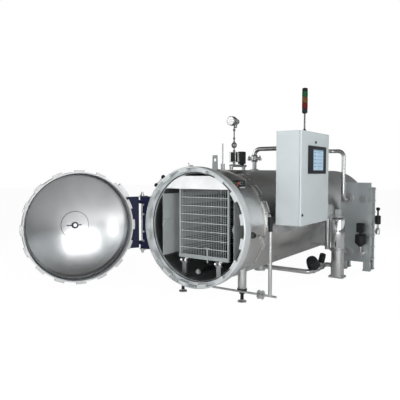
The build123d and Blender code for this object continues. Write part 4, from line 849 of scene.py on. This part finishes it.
# pump: polished sleeve with its bands, grey motor end, bolts round the sleeve's foot
low, high = (Vector(c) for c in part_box("pump_motor_cover"))
pumpX, pumpY = (low.x + high.x) / 2, (low.y + high.y) / 2
sleeveR = (high.x - low.x) / 2
sleeveLow = low.z
bm = bmesh.new()
addTurned(bm, (pumpX, pumpY, sleeveLow), (0, 0, 1),
          [(sleeveR - 0.002, 0), (sleeveR, 0.004), (sleeveR, 0.452), (sleeveR - 0.004, 0.462),
          (0.084, 0.476), (0.0, 0.480)], sides=72)
keep(bm, "pumpSleeve", "mirrorTube", "vessel", ["pump_motor_cover"])
bm = bmesh.new()
addTurned(bm, (pumpX, pumpY, sleeveLow + 0.479), (0, 0, 1), [(0.070, 0), (0.0705, 0.004), (0.0705, 0.020),
    (0.064, 0.027), (0, 0.027)], sides=48)
addBlock(bm, (pumpX - 0.042, pumpY - 0.042, sleeveLow + 0.505), (pumpX + 0.042, pumpY + 0.042, high.z),
    edge=0.010, rounds=3)
keep(bm, "pumpMotorEnd", "greyPaint", "vessel")
bm = bmesh.new()
for z in (sleeveLow + 0.006, sleeveLow + 0.440):
    addTurned(bm, (pumpX, pumpY, z), (0, 0, 1), [(sleeveR - 0.001, 0), (sleeveR + 0.003, 0.001),
        (sleeveR + 0.003, 0.013), (sleeveR - 0.001, 0.014)], sides=72)
boltRing(bm, (pumpX, pumpY, sleeveLow - 0.0005), (0, 0, 1), 0.107, 6, 0.008, 0.010, 20)
keep(bm, "pumpBands", "wireSteel", "vessel")


# black angle-seat valves on the suction line: body on the pipe, ribbed actuator, cap
suction = {"x": 0.775, "z": 0.175, "flangeAt": 0.075, "flangeR": 0.047, "bodyR": 0.041}


def onSuction(y):
    return spot(suction["x"], y, suction["z"])


def pistonValve(name, y, tilt, neck, bigR, topR, length, replaced=()):
    lean = Matrix.Translation(onSuction(y)) @ Matrix.Rotation(math.radians(tilt), 4, "X")
    bm = bmesh.new()
    outline = [(0.027, neck - 0.020), (bigR * 0.60, neck - 0.004), (bigR * 0.94, neck), (bigR, neck + 0.010)]
    for k in range(4):
        far = neck + 0.016 + k * (length - 0.060) / 4
        r = bigR + (topR - bigR) * (far - neck) / length
        outline += [(r, far), (r - 0.0035, far + 0.004), (r - 0.0035, far + 0.010), (r, far + 0.014)]
    outline += [(topR, neck + length - 0.026), (topR - 0.004, neck + length - 0.010),
        (topR * 0.55, neck + length - 0.002), (0, neck + length)]
    addTurned(bm, (0, 0, 0), (0, 0, 1), outline, sides=56)
    bmesh.ops.transform(bm, matrix=lean, verts=bm.verts)
    keep(bm, name + "Head", "blackPlastic", "vessel", replaced)
    bm = bmesh.new()
    addTube(bm, (0, 0, 0.020), (0, 0, neck - 0.010), 0.026, sides=32)
    addTube(bm, (0, 0, neck * 0.55), (0, 0, neck * 0.55 + 0.016), 0.034, sides=6)
    bmesh.ops.transform(bm, matrix=lean, verts=bm.verts)
    for side in (-1, 1):
        flange = y + side * suction["flangeAt"]
        addTube(bm, onSuction(flange - 0.009), onSuction(flange + 0.009), suction["flangeR"], sides=36)
    addTube(bm, onSuction(y - 0.06), onSuction(y + 0.06), suction["bodyR"], sides=36)
    keep(bm, name + "Body", "wireSteel", "vessel")


pistonValve("suctionValve", 1.990, 45, 0.085, 0.092, 0.0773, 0.150, ["angle_valves"])
pistonValve("slimValve", 2.170, -35, 0.085, 0.048, 0.046, 0.140)
print("stage: pump and valves")

# door: a dark joint line inside the rim, the centre fitting's ring, pad line, eye, and a dark bar that is the
# handle's edge with its painted shadow
door = {"open": 116.5, "hingeX": -0.808, "hingeY": 0.035, "hubY": -0.211, "line": 0.0022}
pin = spot(door["hingeX"], door["hingeY"], 0)
swing = (Matrix.Translation(pin) @ Matrix.Rotation(math.radians(-door["open"]), 4, "Z")
         @ Matrix.Translation(-pin))
centre = Vector((axisX, mouthY, axisZ))


def keepOnDoor(bm, name, finish):  # drawn on the closed door, then swung open with it
    bmesh.ops.transform(bm, matrix=swing, verts=bm.verts)
    keep(bm, name, finish, "door")


bm = bmesh.new()
addTurned(bm, centre, (0, 1, 0), [(0.6490, -0.004), (0.6490, 0.006), (0.6502, 0.006), (0.6502, -0.004),
    (0.6490, -0.004)], sides=180, caps=False)
keepOnDoor(bm, "doorJointLine", "darkPaint")
bm = bmesh.new()
hubY = door["hubY"]
addTorus(bm, centre + Vector((0, hubY + 0.020, 0)), (0, 1, 0), 0.032, 0.010, sides=56, tubeSides=14)
keepOnDoor(bm, "doorCentreRing", "navyPaint")
padLow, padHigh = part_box("door_centre_pad")
padR = (padHigh[2] - padLow[2]) / 2
closed = [swing.inverted() @ v.co for v in nodes["door_centre_pad"].data.vertices]
padFace = max(v.y for v in closed if math.hypot(v.x - axisX, v.z - axisZ) > padR * 0.96)
bm = bmesh.new()
addTorus(bm, (axisX, padFace, axisZ), (0, 1, 0), padR, door["line"], sides=120, tubeSides=8)
# dark bar across the hub: the handle's edge and a painted shadow of the handle, in dark paint
addBlock(bm, (axisX - 0.085, mouthY + hubY + 0.010, axisZ - 0.005), (axisX + 0.100, mouthY + hubY + 0.022,
    axisZ + 0.005), edge=0.003)
keepOnDoor(bm, "doorPadLineAndHandleShadow", "darkPaint")
bm = bmesh.new()
addTurned(bm, centre + Vector((0, hubY + 0.010, 0)), (0, 1, 0), [(0, 0), (0.024, 0), (0.024, 0.014),
    (0, 0.016)], sides=40)
keepOnDoor(bm, "doorCentreEye", "whitePlastic")
print("stage: door")

# tundish: its black funnel and post
tunLow, tunHigh = (Vector(c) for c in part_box("tundish"))
tunX, tunY = (tunLow.x + tunHigh.x) / 2, (tunLow.y + tunHigh.y) / 2
bm = bmesh.new()
addTurned(bm, (tunX, tunY, tunHigh.z - 0.158), (0, 0, 1), [(0.022, 0), (0.024, 0.002), (0.034, 0.150),
    (0.034, 0.158), (0.030, 0.158), (0.020, 0.020), (0, 0.020)], sides=40)
addTurned(bm, (tunX, tunY, tunHigh.z - 0.165), (0, 0, 1), [(0.0222, 0), (0.027, 0.002), (0.027, 0.012),
    (0.0222, 0.014)], sides=36)
keep(bm, "tundishFunnel", "blackPlastic", "vessel")
bm = bmesh.new()
addTube(bm, (tunX, tunY, tunLow.z), (tunX, tunY, tunHigh.z - 0.160), 0.022, sides=40)
keep(bm, "tundishPost", "pipeTube", "vessel", ["tundish"])

# feet: discs, threaded screws with lock nuts, black collars under the legs
feet = {"x": (-0.449, 0.449), "y": (0.429, 4.330), "screwR": 0.020, "screwLow": 0.032, "screwHigh": 0.141,
        "threads": 14, "pitch": 0.0065, "threadLow": 0.040, "nutR": 0.034, "nutLow": 0.100, "nutHigh": 0.124}
footSpots = [(x, y) for y in feet["y"] for x in feet["x"]]
bm = bmesh.new()
for x, y in footSpots:
    base = spot(x, y, 0)
    addTurned(bm, base, (0, 0, 1), [(0.054, 0), (0.054, 0.012), (0.050, 0.016), (0.030, 0.022),
        (0.026, 0.032), (0.021, 0.034)], sides=48)
keep(bm, "footDiscs", "pipeTube", "vessel", ["levelling_feet"])
bm = bmesh.new()
for x, y in footSpots:
    base = spot(x, y, 0)
    addTube(bm, base + Vector((0, 0, feet["screwLow"])), base + Vector((0, 0, feet["screwHigh"])),
        feet["screwR"], sides=32)
    thread = bmesh.new()
    addTorus(thread, (0, 0, 0), (0, 0, 1), 0.0195, 0.0022, sides=32, tubeSides=6)
    addCopies(bm, thread, copiesInLine, {"Count": feet["threads"], "Step": (0, 0, feet["pitch"])},
        "blackPlastic", Matrix.Translation(base + Vector((0, 0, feet["threadLow"]))))
    addTube(bm, base + Vector((0, 0, feet["nutLow"])), base + Vector((0, 0, feet["nutHigh"])),
        feet["nutR"], sides=6)
keep(bm, "footScrews", "blackPlastic", "vessel")
bm = bmesh.new()
for x, y in footSpots:
    base = spot(x, y, 0)
    addTurned(bm, base, (0, 0, 1), [(0.0605, 0.141), (0.0605, 0.166), (0.0532, 0.167), (0.022, 0.1405),
        (0.0605, 0.1405), (0.0605, 0.141)], sides=48, caps=False)
keep(bm, "legCollars", "blackPlastic", "vessel")
print("stage: drain and feet")
